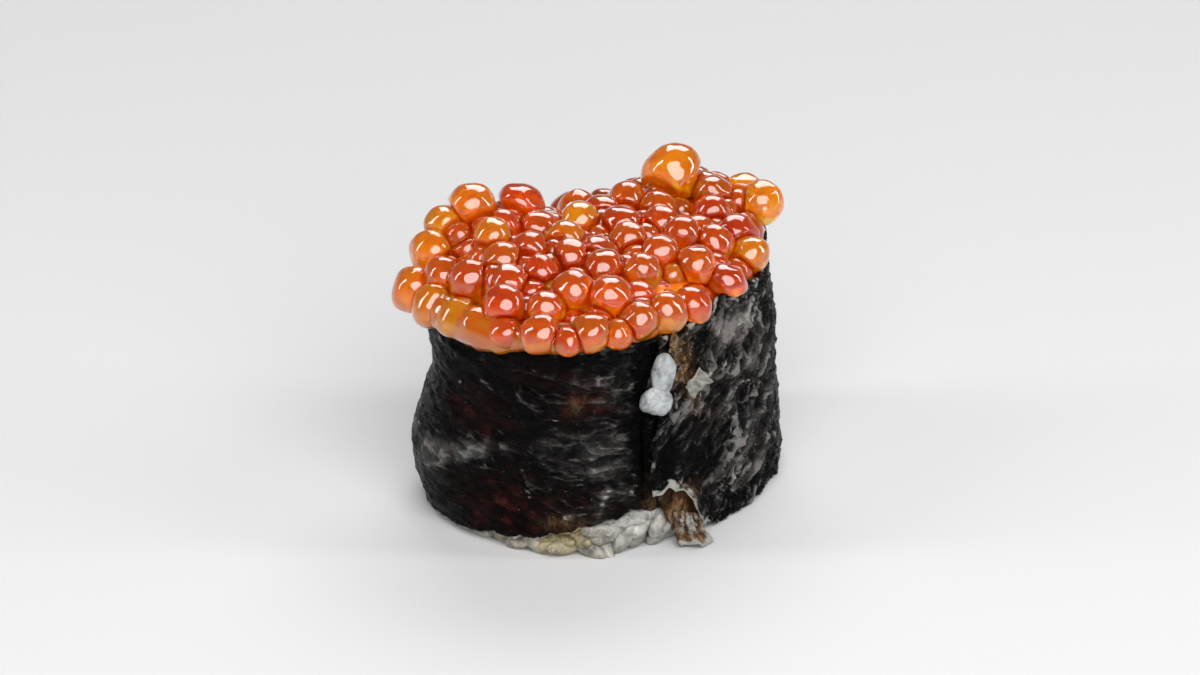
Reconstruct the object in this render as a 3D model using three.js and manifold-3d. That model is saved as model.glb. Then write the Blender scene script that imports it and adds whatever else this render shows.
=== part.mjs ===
// Gunkan sushi: a hand-pressed block of sushi rice, a strip of nori wrapped
// round it with its end lapped over at the front, and a mound of salmon roe
// heaped on top and spilling over the rim. Millimetres, +Z up. +X runs along
// the long axis of the oval, -Y is the long side with the seam of the wrap.
// The origin is on the resting plane, under the middle of the whole piece.
import * as THREE from 'three';
import Module from 'manifold-3d';
import { mergeVertices } from 'three/addons/utils/BufferGeometryUtils.js';

// ---------------------------------------------------------------- sizes, mm
const RIM_HALF_LENGTH = 24.65;   // outer face of the nori at the rim, along X
const RIM_HALF_WIDTH = 19.25;    // and along Y
const FOOT_SPREAD = 1.58;        // how far the foot stands out past the rim
const PLAN_EXPONENT = 2.45;      // 2 is an ellipse, more is squarer
const WRAP_HEIGHT = 29.5;        // width of the nori strip
const SHEET = 0.5;               // nori and the film of rice starch on it
const CLEAR = 0.35;              // gap between pieces that touch
const RICE_TOP = 21.8;           // height of the pressed rice under the roe
const SEAM_ANGLE = -128;         // outer end of the strip, degrees from +X
const LAP_ANGLE = 46;            // how far the strip laps over itself
const COLUMN_STEP = 7.0;         // degrees between columns of the wrap
const WRAP_ROWS = 8;             // rows of quads up the wrap
const ROE_RADIUS = 2.62;         // mean radius of one egg
const ROE_COUNT = 166;           // loose eggs in the heap
const ROE_ROUNDS = 200;          // rounds of pushing them apart
const ROE_SEED = 11;
const MOUND_EDGE = 29.9;         // height of egg centres at the rim
const MOUND_RISE = 5.0;          // and how much more at the middle
const GRAIN_LENGTH = 5.6;        // a cooked grain of short rice
const GRAIN_WIDTH = 2.6;
const GRAIN_DEPTH = 2.1;
const ORIGIN_SHIFT = [0.15, -0.035]; // moves the middle of the box to x = y = 0

// Humps of the mound: x, y, spread, rise. Spills: x, y, spread, share.
const HUMPS = [[-11, 12.5, 4.6, 4.6], [-2.6, 11.5, 3.6, 2.6], [16, -3, 6.5, 1.6],
  [21.5, -8, 3.6, 1.5], [7.6, 13.6, 3.4, -4.2], [14.5, 9.5, 4, -2],
  [7, 7, 6, -0.8]];
const SPILLS = [[-20.5, 13.5, 6, 0.1], [-23.5, 4, 5, 0.05], [-9, -17, 7, 0.03]];
// Eggs with a place of their own: x, y, z, radius.
const PLACED = [[17.5, 0.3, 37.9, 3.6], [23.1, -6.9, 34.8, 2.8],
  [21.5, -11, 35.1, 2.75], [-9.2, 14.1, 38.2, 3], [-2.6, 11, 37, 2.95],
  [-12, 16, 36.4, 2.5], [-15.7, 15.6, 34, 2.6], [-20.7, 14.5, 30.4, 2.85],
  [-23.1, 9.8, 29.9, 2.7], [-23.9, 5, 29.8, 2.65], [6.7, 8.5, 34.2, 2.75],
  [21.7, -3.4, 35.4, 2.5], [10.3, 2.8, 35.6, 2.6], [0.3, 8.4, 33.5, 2.5],
  [-22.6, -1.2, 32.3, 2.75], [-15.9, -7.3, 33.8, 2.5], [-14.1, -11.8, 33.4, 2.65],
  [-6.4, -11.3, 34.2, 2.4], [-11.5, 2.8, 35.2, 2.6], [-6, 1.3, 35.3, 2.7],
  [-0.4, -4.9, 35, 2.6], [5.4, -9.2, 34.9, 2.4], [7.8, -12.8, 34.1, 2.4],
  [11.4, -16, 32.1, 2.45], [14.2, -8, 35.1, 2.4], [0.7, -14.7, 33.5, 2.5],
  [-5.7, -18.6, 31.2, 2.35], [-10.1, -17.7, 31.3, 2.45], [-23.5, -7.7, 30.5, 2.4],
  [-19.9, -12.8, 30.7, 2.4], [-20.3, 5.8, 33.5, 2.6], [-18.5, 0.9, 33.6, 2.45],
  [2.6, -18.3, 31.5, 2.4], [-0.7, -10.1, 34.4, 2.4], [-8.7, -6.8, 34.4, 2.35],
  [-14.2, -16.1, 31.2, 2.3], [-19.9, -5.9, 32.4, 2.3], [-24.4, -2.6, 29.9, 2.1],
  [-22.2, -10.9, 29.8, 1.9], [-17.4, -15.2, 30.1, 1.9], [-12.9, 7.9, 36.9, 2.4]];

// Lower edge of the strip along its run (degrees, falling from the inner end
// to the outer one): it rides up at the front, where the rice shows below it.
const LOWER_EDGE = [[-82, 1], [-108, 1], [-117, 1.6], [-125, 5.3], [-132, 5.8],
  [-140, 5.3], [-148, 4.6], [-155, 3.7], [-163, 2.6], [-175, 1.7], [-190, 1],
  [-205, 0.9], [-260, 0.9], [-300, 1.2], [-322, 1.9], [-345, 1.1], [-400, 0.9],
  [-462, 0.9], [-466, 1.2], [-477, 7.4], [-483, 8], [-488, 7.4]];
// Upper edge by angle: low where the roe spills over, high at the far right.
const UPPER_EDGE = [[-215, 28], [-190, 28.2], [-174, 28.3], [-163, 28.7],
  [-151, 28.7], [-143, 28.9], [-134, 29.3], [-118, 29.3], [-107, 29.3],
  [-101, 29.7], [-91, 30.6], [-80, 31], [-70, 31], [-58, 30.1], [-50, 29.9],
  [-42, 31.2], [-28, 32.6], [-10, 31.9], [10, 31.2], [36, 31], [50, 30.2],
  [64, 29.6], [80, 29.4], [110, 28.8], [145, 28]];
// Broad dents and swellings: angle, z, half angle, half height, slope, outward.
const FOLDS = [[-207, 20, 30, 7, 0, -0.9], [-205, 9.5, 26, 4.5, 0, 0.75],
  [-207, 0, 30, 3.4, 0, -1.3], [-189, 11.5, 12, 2.6, 0.16, 0.5],
  [-176, 5.8, 15, 3.4, 0, -0.8], [-143, 15, 14, 7, 0, -0.35],
  [-60, 14, 16, 5, 0.06, 0.35], [-20, 9, 18, 5, -0.05, -0.6],
  [25, 18, 20, 6, 0.04, 0.5], [62, 9, 18, 5, 0.1, -0.7],
  [100, 19, 22, 6, -0.06, -0.5], [128, 8, 16, 5, 0.05, 0.4]];

// ----------------------------------------------------------------- helpers
const rad = (d) => d * Math.PI / 180;
const bell = (x) => Math.exp(-x * x);
const smooth = (x) => { const t = Math.min(1, Math.max(0, x)); return t * t * (3 - 2 * t); };
const around = (d) => { let x = d % 360; if (x > 180) x -= 360; if (x < -180) x += 360; return x; };

function along(knots, x) {
  const up = knots[knots.length - 1][0] > knots[0][0];
  const list = up ? knots : knots.slice().reverse();
  if (x <= list[0][0]) return list[0][1];
  for (let i = 1; i < list.length; i++) {
    if (x <= list[i][0]) {
      const t = (x - list[i - 1][0]) / (list[i][0] - list[i - 1][0]);
      return list[i - 1][1] + (list[i][1] - list[i - 1][1]) * smooth(t);
    }
  }
  return list[list.length - 1][1];
}

// Radius of the outer face of the first layer of nori.
function wallRadius(theta, z) {
  const t = z / WRAP_HEIGHT;
  const a = RIM_HALF_LENGTH + FOOT_SPREAD * (1 - t);
  const b = RIM_HALF_WIDTH + FOOT_SPREAD * (1 - t);
  const c = Math.abs(Math.cos(rad(theta))) / a, s = Math.abs(Math.sin(rad(theta))) / b;
  let r = Math.pow(Math.pow(c, PLAN_EXPONENT) + Math.pow(s, PLAN_EXPONENT), -1 / PLAN_EXPONENT);
  for (const [fa, fz, wa, wz, slope, out] of FOLDS) {
    const d = around(theta - fa);
    if (Math.abs(d) < 3 * wa) r += out * bell(d / wa) * bell((z - fz - slope * d) / wz);
  }
  return r;
}

const upperEdge = (theta) => {
  let x = around(theta);
  if (x > 145) x -= 360;
  const e = x < -215 ? 28.0 : along(UPPER_EDGE, x);
  return e + 0.22 * Math.sin(rad(7 * x + 60)) + 0.12 * Math.sin(rad(13 * x + 110));
};

const polar = (theta, r, z) => [r * Math.cos(rad(theta)), r * Math.sin(rad(theta)), z];

// A closed surface from rings of points: each ring is a list of [x, y, z].
function skin(rings, closedAround, capStart, capEnd) {
  const n = rings[0].length, pos = [], idx = [];
  for (const ring of rings) for (const p of ring) pos.push(...p);
  const id = (i, j) => i * n + (j % n);
  const last = closedAround ? n : n - 1;
  for (let i = 0; i + 1 < rings.length; i++) {
    for (let j = 0; j < last; j++) {
      const a = id(i, j), b = id(i, j + 1), c = id(i + 1, j + 1), d = id(i + 1, j);
      idx.push(a, b, c, a, c, d);
    }
  }
  const cap = (ringIndex, flip) => {
    const ring = rings[ringIndex], m = [0, 0, 0];
    for (const p of ring) for (let k = 0; k < 3; k++) m[k] += p[k] / ring.length;
    const centre = pos.length / 3;
    pos.push(...m);
    for (let j = 0; j < n; j++) {
      const a = id(ringIndex, j), b = id(ringIndex, j + 1);
      if (flip) idx.push(centre, b, a); else idx.push(centre, a, b);
    }
  };
  if (capStart) cap(0, true);
  if (capEnd) cap(rings.length - 1, false);
  const g = new THREE.BufferGeometry();
  g.setAttribute('position', new THREE.Float32BufferAttribute(pos, 3));
  g.setIndex(idx);
  return mergeVertices(g, 1e-5);
}

// -------------------------------------------------------------------- roe
function random(seed) {
  let v = seed;
  return () => { v = (v * 1664525 + 1013904223) % 4294967296; return v / 4294967296; };
}
const oval = (x, y, a, b) => Math.pow(
  Math.pow(Math.abs(x / a), PLAN_EXPONENT) + Math.pow(Math.abs(y / b), PLAN_EXPONENT), 1 / PLAN_EXPONENT);
function hump(x, y, h) {
  const dx = x - h[0], dy = y - h[1];
  return h[3] * Math.exp(-(dx * dx + dy * dy) / (2 * h[2] * h[2]));
}
function spill(x, y) {
  let e = 0;
  for (const h of SPILLS) e += hump(x, y, h);
  return e;
}
function centreHeight(x, y) {
  const r = Math.min(oval(x, y, RIM_HALF_LENGTH, RIM_HALF_WIDTH) / (1 + spill(x, y)), 1);
  let z = MOUND_EDGE + MOUND_RISE * Math.pow(1 - Math.pow(r, 2.8), 0.62);
  for (const h of HUMPS) z += hump(x, y, h);
  return z;
}

// 1 where the heap stays inside the rim, at the front right, 0 elsewhere.
function heldIn(theta) {
  const x = around(theta);
  return smooth((x + 158) / 16) * smooth((-34 - x) / 14);
}

// Eggs pushed apart until they lie against each other, held in by the wrap
// below the rim and by the surface of the mound above it.
function packRoe() {
  const rnd = random(ROE_SEED), eggs = [], rounds = ROE_ROUNDS;
  for (const p of PLACED) eggs.push([p[0], p[1], p[2], p[3], 0, 1]);
  while (eggs.length < ROE_COUNT + PLACED.length) {
    const x = (2 * rnd() - 1) * RIM_HALF_LENGTH, y = (2 * rnd() - 1) * RIM_HALF_WIDTH;
    const u = rnd(), r = ROE_RADIUS * (0.86 + 0.28 * rnd()), j = rnd();
    if (oval(x, y, RIM_HALF_LENGTH, RIM_HALF_WIDTH) > 0.97) continue;
    const top = centreHeight(x, y);
    eggs.push([x, y, RICE_TOP + r + u * (top - RICE_TOP - r), r, j * j * 1.1 - 0.3, 0]);
  }
  const n = eggs.length;
  let near = [];
  for (let it = 0; it < rounds; it++) {
    if (it % 8 === 0) {
      near = [];
      for (let i = 0; i < n; i++) {
        const list = [];
        for (let k = i + 1; k < n; k++) {
          const dx = eggs[i][0] - eggs[k][0], dy = eggs[i][1] - eggs[k][1], dz = eggs[i][2] - eggs[k][2];
          if (dx * dx + dy * dy + dz * dz < 72) list.push(k);
        }
        near.push(list);
      }
    }
    const soft = 0.93 + 0.04 * it / rounds;
    for (let i = 0; i < n; i++) {
      const a = eggs[i];
      for (const k of near[i]) {
        const b = eggs[k];
        const dx = b[0] - a[0], dy = b[1] - a[1], dz = b[2] - a[2];
        const want = (a[3] + b[3]) * soft, d2 = dx * dx + dy * dy + dz * dz;
        if (d2 < want * want && d2 > 1e-9) {
          const wa = a[5] ? 0 : 1, wb = b[5] ? 0 : 1;
          if (wa + wb === 0) continue;
          const d = Math.sqrt(d2), m = (want - d) / d * (wa + wb === 1 ? 1 : 0.5);
          a[0] -= dx * m * wa; a[1] -= dy * m * wa; a[2] -= dz * m * wa;
          b[0] += dx * m * wb; b[1] += dy * m * wb; b[2] += dz * m * wb;
        }
      }
    }
    for (const a of eggs) {
      if (a[5]) continue;
      a[2] -= 0.02;
      const top = centreHeight(a[0], a[1]) + a[4];
      if (a[2] > top) a[2] = top + (a[2] - top) * 0.3;
      if (a[2] < RICE_TOP + a[3] * 0.95) a[2] = RICE_TOP + a[3] * 0.95;
      const th = Math.atan2(a[1], a[0]) * 180 / Math.PI;
      const over = Math.min(1, Math.max(0, (a[2] - upperEdge(th) - 0.2) / 1.2));
      const e = 1 + over * spill(a[0], a[1]);
      const inset = (a[3] * 0.97 + 0.9) * (1 - over) + over * (2.2 * heldIn(th) - 0.2);
      const q = oval(a[0], a[1], (RIM_HALF_LENGTH - inset) * e, (RIM_HALF_WIDTH - inset) * e);
      if (q > 1) { a[0] /= q; a[1] /= q; }
    }
  }
  return eggs;
}

// ------------------------------------------------------------ solids by code
const wasm = await Module();
wasm.setup();
function solid(geometry) {
  const g = geometry.clone();
  g.deleteAttribute('normal');
  g.deleteAttribute('uv');
  const m = mergeVertices(g, 1e-4);
  return new wasm.Manifold(new wasm.Mesh({
    numProp: 3,
    vertProperties: new Float32Array(m.attributes.position.array),
    triVerts: new Uint32Array(m.index.array),
  }));
}
// The largest shell of a joined solid; crumbs cut off it are dropped.
function surface(manifold) {
  const m = manifold.getMesh(), count = m.vertProperties.length / m.numProp;
  const root = Array.from({ length: count }, (_, i) => i);
  const top = (i) => { while (root[i] !== i) { root[i] = root[root[i]]; i = root[i]; } return i; };
  for (let i = 0; i < m.triVerts.length; i += 3) {
    root[top(m.triVerts[i + 1])] = top(m.triVerts[i]);
    root[top(m.triVerts[i + 2])] = top(m.triVerts[i]);
  }
  const size = new Map();
  for (let i = 0; i < m.triVerts.length; i += 3) {
    const k = top(m.triVerts[i]);
    size.set(k, (size.get(k) || 0) + 1);
  }
  const keep = [...size].sort((a, b) => b[1] - a[1])[0][0];
  const pos = [], idx = [], place = new Map();
  for (const v of m.triVerts) {
    if (top(v) !== keep) continue;
    if (!place.has(v)) {
      place.set(v, pos.length / 3);
      for (let k = 0; k < 3; k++) pos.push(m.vertProperties[v * m.numProp + k]);
    }
    idx.push(place.get(v));
  }
  const g = new THREE.BufferGeometry();
  g.setAttribute('position', new THREE.Float32BufferAttribute(pos, 3));
  g.setIndex(idx);
  return g;
}

// ------------------------------------------------------------------- nori
// The strip runs from its hidden inner end, under the lap, once round the
// block and over its own start to the outer end at the seam.
const RUN_START = SEAM_ANGLE + LAP_ANGLE, RUN_END = SEAM_ANGLE - 360;
const COLUMNS = Math.round((RUN_START - RUN_END) / COLUMN_STEP);
const STEP = (RUN_START - RUN_END) / COLUMNS;
const LAP_LIFT = SHEET + CLEAR + 0.05;

function liftAt(run, z) {
  // second layer, over the first one
  let out = LAP_LIFT * smooth((RUN_START - 360 + 37 - run) / 31);
  const d = run - RUN_END;                 // degrees short of the outer end
  if (d < 40) {
    out += 1.5 * bell((d - 1) / 8) * bell((z - 10.8) / 2.8);      // open pocket
    out += 2.2 * smooth((26 - d) / 14) * (1 - smooth(z / 8.5));   // flared corner
  }
  return out;
}

function noriGeometry() {
  const rings = [];
  for (let i = 0; i <= COLUMNS; i++) {
    const run = RUN_START - i * STEP;
    const lo = along(LOWER_EDGE, run), hi = upperEdge(run);
    const outer = [], inner = [];
    for (let j = 0; j <= WRAP_ROWS; j++) {
      const z = lo + (hi - lo) * j / WRAP_ROWS;
      const r = wallRadius(run, z) + liftAt(run, z);
      outer.push(polar(run, r, z));
      inner.push(polar(run, r - SHEET, z));
    }
    rings.push([...outer, ...inner.reverse()]);
  }
  const g = skin(rings, true, false, false);
  // the two cut ends, as ladders of quads across the thickness
  const n = 2 * (WRAP_ROWS + 1), idx = Array.from(g.index.array), p = g.attributes.position;
  const find = (q) => {
    for (let i = 0; i < p.count; i++) {
      if (Math.hypot(p.getX(i) - q[0], p.getY(i) - q[1], p.getZ(i) - q[2]) < 1e-4) return i;
    }
    throw new Error('end point not found');
  };
  for (const [ring, flip] of [[rings[0], true], [rings[COLUMNS], false]]) {
    const v = ring.map(find);
    for (let j = 0; j < WRAP_ROWS; j++) {
      const a = v[j], b = v[j + 1], c = v[n - 2 - j], d = v[n - 1 - j];
      if (flip) idx.push(a, c, b, a, d, c); else idx.push(a, b, c, a, c, d);
    }
  }
  g.setIndex(idx);
  return g;
}

// ------------------------------------------------------------------- rice
function riceGeometry() {
  const n = 40, rings = [[], [], [], [], []];
  const levels = 5;
  for (let k = 0; k < levels; k++) rings.push([]);
  rings.push([], []);
  const rnd = random(5), lump = [];
  for (let j = 0; j < n; j++) lump.push([rnd(), rnd(), rnd(), rnd()]);
  for (let j = 0; j < n; j++) {
    const th = SEAM_ANGLE - 232 + 360 * j / n;         // rises with j
    let run = around(th);
    while (run > -128) run -= 360;                     // first layer, past the lap
    if (run < -488) run += 360;
    const first = around(th) <= -82 && around(th) > -128 ? along(LOWER_EDGE, around(th)) : along(LOWER_EDGE, run);
    const lo = Math.max(first, 0.9);
    const bulge = smooth((lo - 1.2) / 1.6);
    const inside = (z) => wallRadius(th, z) - SHEET - CLEAR - 0.08;
    const shelf = lo - 0.6;
    const rOut = inside(shelf) + bulge * (SHEET + CLEAR - 0.05) - 0.25 * lump[j][0] * bulge;
    const hi = upperEdge(th);
    const back = bell(around(th + 133) / 9);           // drawn back off the board
    rings[0].push(polar(th, rOut - 1.5 - 0.8 * lump[j][1] - 1.6 * back, 0));
    rings[1].push(polar(th, rOut - 0.45 - 0.3 * lump[j][2] - 1.4 * back, 0.3 * Math.min(shelf, 2.4)));
    rings[2].push(polar(th, rOut - 0.3 * lump[j][3] * bulge, 0.65 * shelf));
    rings[3].push(polar(th, rOut, shelf));
    rings[4].push(polar(th, inside(lo), lo - 0.3));
    for (let k = 1; k <= levels; k++) {
      const z = Math.min(lo + (hi - lo) * k / WRAP_ROWS, RICE_TOP - 1.2 + 0.1 * (k - levels));
      rings[4 + k].push(polar(th, inside(z) - (k === levels ? 0.15 : 0), z));
    }
    rings[5 + levels].push(polar(th, inside(RICE_TOP) - 1.6, RICE_TOP - 0.2 - 0.3 * lump[j][1]));
    rings[6 + levels].push(polar(th, 0.5 * inside(RICE_TOP), RICE_TOP - 0.5 * lump[j][3]));
  }
  return skin(rings, true, true, true);
}

// ---------------------------------------------------------------- roe solid
function roeGeometry(eggs) {
  // body of the heap under its outermost eggs
  const n = 24, rings = [[], [], [], [], [], [], []];
  for (let j = 0; j < n; j++) {
    const th = 360 * j / n, lo = RICE_TOP + CLEAR, edge = upperEdge(th) - 1.0;
    const r = (z) => wallRadius(th, z) - SHEET - CLEAR - 0.25;
    rings[0].push(polar(th, r(lo) - 1.2, lo));
    rings[1].push(polar(th, r(lo + 1), lo + 1));
    rings[2].push(polar(th, r(edge), edge));
    for (const [k, f] of [[3, 0.9], [4, 0.70], [5, 0.45], [6, 0.2]]) {
      const q = r(edge) * f, p = polar(th, q, 0);
      rings[k].push([p[0], p[1], Math.max(centreHeight(p[0], p[1]) - 0.9, edge - 1.5)]);
    }
  }
  let body = solid(skin(rings, true, true, true));
  // outermost eggs, and those that the eggs with a place of their own lie on
  const props = (egg) => PLACED.some((p) =>
    Math.hypot(p[0] - egg[0], p[1] - egg[1], p[2] - egg[2]) < (p[3] + egg[3]) * 1.02);
  for (const egg of eggs) {
    const [x, y, z, r, , placed] = egg, e = oval(x, y, RIM_HALF_LENGTH, RIM_HALF_WIDTH);
    const shown = placed || z > centreHeight(x, y) - 1.1 || (e > 0.86 && z > upperEdge(Math.atan2(y, x) * 180 / Math.PI) - 0.1) || props(egg);
    if (!shown) continue;
    const g = r > 3.2 ? new THREE.IcosahedronGeometry(r, 1) : new THREE.OctahedronGeometry(r * 0.98, 1);
    g.rotateX(0.7 * x); g.rotateZ(0.9 * y);
    g.translate(x, y, z);
    body = body.add(solid(g));
  }
  // room for the wrap: the heap lies inside it and over its upper edge
  const m = 52, ringsW = [];
  for (let j = 0; j < m; j++) {
    const th = 360 * j / m, hi = upperEdge(th) + CLEAR;
    const lift = LAP_LIFT * smooth((45 + around(th)) / -31) * (around(th) > -130 && around(th) < 0 ? 1 : 0);
    const section = [];
    for (const z of [19, 24, hi]) section.push([wallRadius(th, z) + CLEAR + lift, z]);
    for (const z of [hi, 24, 19]) section.push([wallRadius(th, z) - SHEET - CLEAR, z]);
    ringsW.push(section.map(([r, z]) => polar(th, r, z)));
  }
  ringsW.push(ringsW[0].map((p) => p.slice()));
  const room = skin(ringsW.map((s) => s.slice().reverse()), true, false, false);
  body = body.subtract(solid(room));
  return surface(body);
}

// ------------------------------------------------------- grains on the seam
function grainGeometry(theta, z, turn, length, width, depth) {
  const g = new THREE.SphereGeometry(0.5, 8, 7);
  const p = g.attributes.position;
  for (let i = 0; i < p.count; i++) {
    // a grain is fuller on one side and has a dent where the germ was
    const x = p.getX(i), y = p.getY(i), w = p.getZ(i);
    const taper = 1 - 0.18 * y * 2 - 0.1 * bell((y - 0.42) / 0.14) * (x > 0 ? 1 : 0);
    p.setXYZ(i, x * width * taper, y * length, w * depth * taper);
  }
  g.rotateZ(rad(turn));                       // turn on the wall
  g.rotateX(Math.PI / 2);                     // stand it up: Y to Z
  g.rotateZ(rad(theta + 90));                 // face outwards
  const r = wallRadius(theta, z) + LAP_LIFT + 0.3 + depth / 2;
  g.translate(...polar(theta, r, z));
  g.deleteAttribute('normal');
  g.deleteAttribute('uv');
  return mergeVertices(g, 1e-4);
}

// ---------------------------------------------------------------- assembly
const eggs = packRoe();
const pieces = [
  ['rice', riceGeometry(), 0xe9e4d6, 0.55],
  ['nori', noriGeometry(), 0x171814, 0.42],
  ['roe', roeGeometry(eggs), 0xe0641a, 0.12],
  ['rice_grain_upper', grainGeometry(-124.6, 25.0, -9, GRAIN_LENGTH * 0.80, GRAIN_WIDTH, GRAIN_DEPTH), 0xf2f0ea, 0.4],
  ['rice_grain_lower', grainGeometry(-127.2, 21.0, 66, GRAIN_LENGTH * 0.75, GRAIN_WIDTH * 1.15, GRAIN_DEPTH), 0xf2f0ea, 0.4],
];
const sushi = new THREE.Group();
sushi.name = 'gunkan_sushi';
for (const [name, geometry, color, roughness] of pieces) {
  const material = new THREE.MeshStandardMaterial({ color, roughness, metalness: 0 });
  const mesh = new THREE.Mesh(geometry, material);
  mesh.name = name;
  mesh.position.set(ORIGIN_SHIFT[0], ORIGIN_SHIFT[1], 0);
  sushi.add(mesh);
}

export default sushi;
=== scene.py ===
"""Gunkan sushi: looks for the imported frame. Metres in Blender; the design
sizes below are millimetres, as in the model's own source, before the shift
that puts the origin under the middle of the box."""
import math

import bpy
import bmesh
import numpy as np
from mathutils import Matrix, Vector


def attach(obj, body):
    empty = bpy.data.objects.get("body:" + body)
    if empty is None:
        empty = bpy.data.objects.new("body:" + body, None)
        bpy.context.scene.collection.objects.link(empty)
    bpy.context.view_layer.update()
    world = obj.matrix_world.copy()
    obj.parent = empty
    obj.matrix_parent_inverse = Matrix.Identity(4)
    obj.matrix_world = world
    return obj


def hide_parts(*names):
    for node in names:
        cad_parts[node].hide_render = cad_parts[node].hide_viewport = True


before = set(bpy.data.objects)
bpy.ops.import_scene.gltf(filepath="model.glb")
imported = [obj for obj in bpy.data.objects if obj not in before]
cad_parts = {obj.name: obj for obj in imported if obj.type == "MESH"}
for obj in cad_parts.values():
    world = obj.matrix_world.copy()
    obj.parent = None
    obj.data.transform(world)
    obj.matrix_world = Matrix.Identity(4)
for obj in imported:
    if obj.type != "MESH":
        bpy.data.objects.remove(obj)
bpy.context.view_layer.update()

# ------------------------------------------------------------------ sizes, mm
RIM_HALF_LENGTH = 24.65
RIM_HALF_WIDTH = 19.25
FOOT_SPREAD = 1.58
PLAN_EXPONENT = 2.45
WRAP_HEIGHT = 29.5
CLEAR = 0.35
RICE_TOP = 21.8
SEAM_ANGLE = -128.0
LAP_ANGLE = 46.0
ROE_RADIUS = 2.62
ROE_COUNT = 166
ROE_ROUNDS = 200
ROE_SEED = 11
MOUND_EDGE = 29.9
MOUND_RISE = 5.0
ORIGIN_SHIFT = (0.15, -0.035)
SHEET_SHOWN = 0.30

HUMPS = [(-11, 12.5, 4.6, 4.6), (-2.6, 11.5, 3.6, 2.6), (16, -3, 6.5, 1.6),
    (21.5, -8, 3.6, 1.5), (7.6, 13.6, 3.4, -4.2), (14.5, 9.5, 4, -2), (7, 7, 6, -0.8)]
SPILLS = [(-20.5, 13.5, 6, 0.1), (-23.5, 4, 5, 0.05), (-9, -17, 7, 0.03)]
PLACED = [(17.5, 0.3, 37.9, 3.6), (23.1, -6.9, 34.8, 2.8), (21.5, -11, 35.1, 2.75),
    (-9.2, 14.1, 38.2, 3), (-2.6, 11, 37, 2.95), (-12, 16, 36.4, 2.5), (-15.7, 15.6, 34, 2.6),
    (-20.7, 14.5, 30.4, 2.85), (-23.1, 9.8, 29.9, 2.7), (-23.9, 5, 29.8, 2.65),
    (6.7, 8.5, 34.2, 2.75), (21.7, -3.4, 35.4, 2.5), (10.3, 2.8, 35.6, 2.6),
    (0.3, 8.4, 33.5, 2.5), (-22.6, -1.2, 32.3, 2.75), (-15.9, -7.3, 33.8, 2.5),
    (-14.1, -11.8, 33.4, 2.65), (-6.4, -11.3, 34.2, 2.4), (-11.5, 2.8, 35.2, 2.6),
    (-6, 1.3, 35.3, 2.7), (-0.4, -4.9, 35, 2.6), (5.4, -9.2, 34.9, 2.4),
    (7.8, -12.8, 34.1, 2.4), (11.4, -16, 32.1, 2.45), (14.2, -8, 35.1, 2.4),
    (0.7, -14.7, 33.5, 2.5), (-5.7, -18.6, 31.2, 2.35), (-10.1, -17.7, 31.3, 2.45),
    (-23.5, -7.7, 30.5, 2.4), (-19.9, -12.8, 30.7, 2.4), (-20.3, 5.8, 33.5, 2.6),
    (-18.5, 0.9, 33.6, 2.45), (2.6, -18.3, 31.5, 2.4), (-0.7, -10.1, 34.4, 2.4),
    (-8.7, -6.8, 34.4, 2.35), (-14.2, -16.1, 31.2, 2.3), (-19.9, -5.9, 32.4, 2.3),
    (-24.4, -2.6, 29.9, 2.1), (-22.2, -10.9, 29.8, 1.9), (-17.4, -15.2, 30.1, 1.9),
    (-12.9, 7.9, 36.9, 2.4)]
LOWER_EDGE = [(-82, 1), (-108, 1), (-117, 1.6), (-125, 5.3), (-132, 5.8), (-140, 5.3),
    (-148, 4.6), (-155, 3.7), (-163, 2.6), (-175, 1.7), (-190, 1), (-205, 0.9), (-260, 0.9),
    (-300, 1.2), (-322, 1.9), (-345, 1.1), (-400, 0.9), (-462, 0.9), (-466, 1.2), (-477, 7.4),
    (-483, 8), (-488, 7.4)]
UPPER_EDGE = [(-215, 28), (-190, 28.2), (-174, 28.3), (-163, 28.7), (-151, 28.7), (-143, 28.9),
    (-134, 29.3), (-118, 29.3), (-107, 29.3), (-101, 29.7), (-91, 30.6), (-80, 31), (-70, 31),
    (-58, 30.1), (-50, 29.9), (-42, 31.2), (-28, 32.6), (-10, 31.9), (10, 31.2), (36, 31),
    (50, 30.2), (64, 29.6), (80, 29.4), (110, 28.8), (145, 28)]
FOLDS = [(-207, 20, 30, 7, 0, -0.9), (-205, 9.5, 26, 4.5, 0, 0.75),
    (-207, 0, 30, 3.4, 0, -1.3), (-189, 11.5, 12, 2.6, 0.16, 0.5),
    (-176, 5.8, 15, 3.4, 0, -0.8), (-143, 15, 14, 7, 0, -0.35), (-60, 14, 16, 5, 0.06, 0.35),
    (-20, 9, 18, 5, -0.05, -0.6), (25, 18, 20, 6, 0.04, 0.5), (62, 9, 18, 5, 0.1, -0.7),
    (100, 19, 22, 6, -0.06, -0.5), (128, 8, 16, 5, 0.05, 0.4)]


# ------------------------------------------------------------------- helpers
def to_scene(p):
    p = np.asarray(p, float)
    return (p + np.array([ORIGIN_SHIFT[0], ORIGIN_SHIFT[1], 0.0])) / 1000.0


def bell(x):
    return np.exp(-np.square(x))


def smooth(x):
    t = np.clip(x, 0.0, 1.0)
    return t * t * (3 - 2 * t)


def around(d):
    return (np.asarray(d, float) + 180.0) % 360.0 - 180.0


def along(knots, x):
    k = sorted(knots)
    kx = np.array([a for a, _ in k], float)
    ky = np.array([b for _, b in k], float)
    x = np.asarray(x, float)
    i = np.clip(np.searchsorted(kx, x) - 1, 0, len(kx) - 2)
    t = smooth((x - kx[i]) / (kx[i + 1] - kx[i]))
    return ky[i] + (ky[i + 1] - ky[i]) * t


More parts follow.
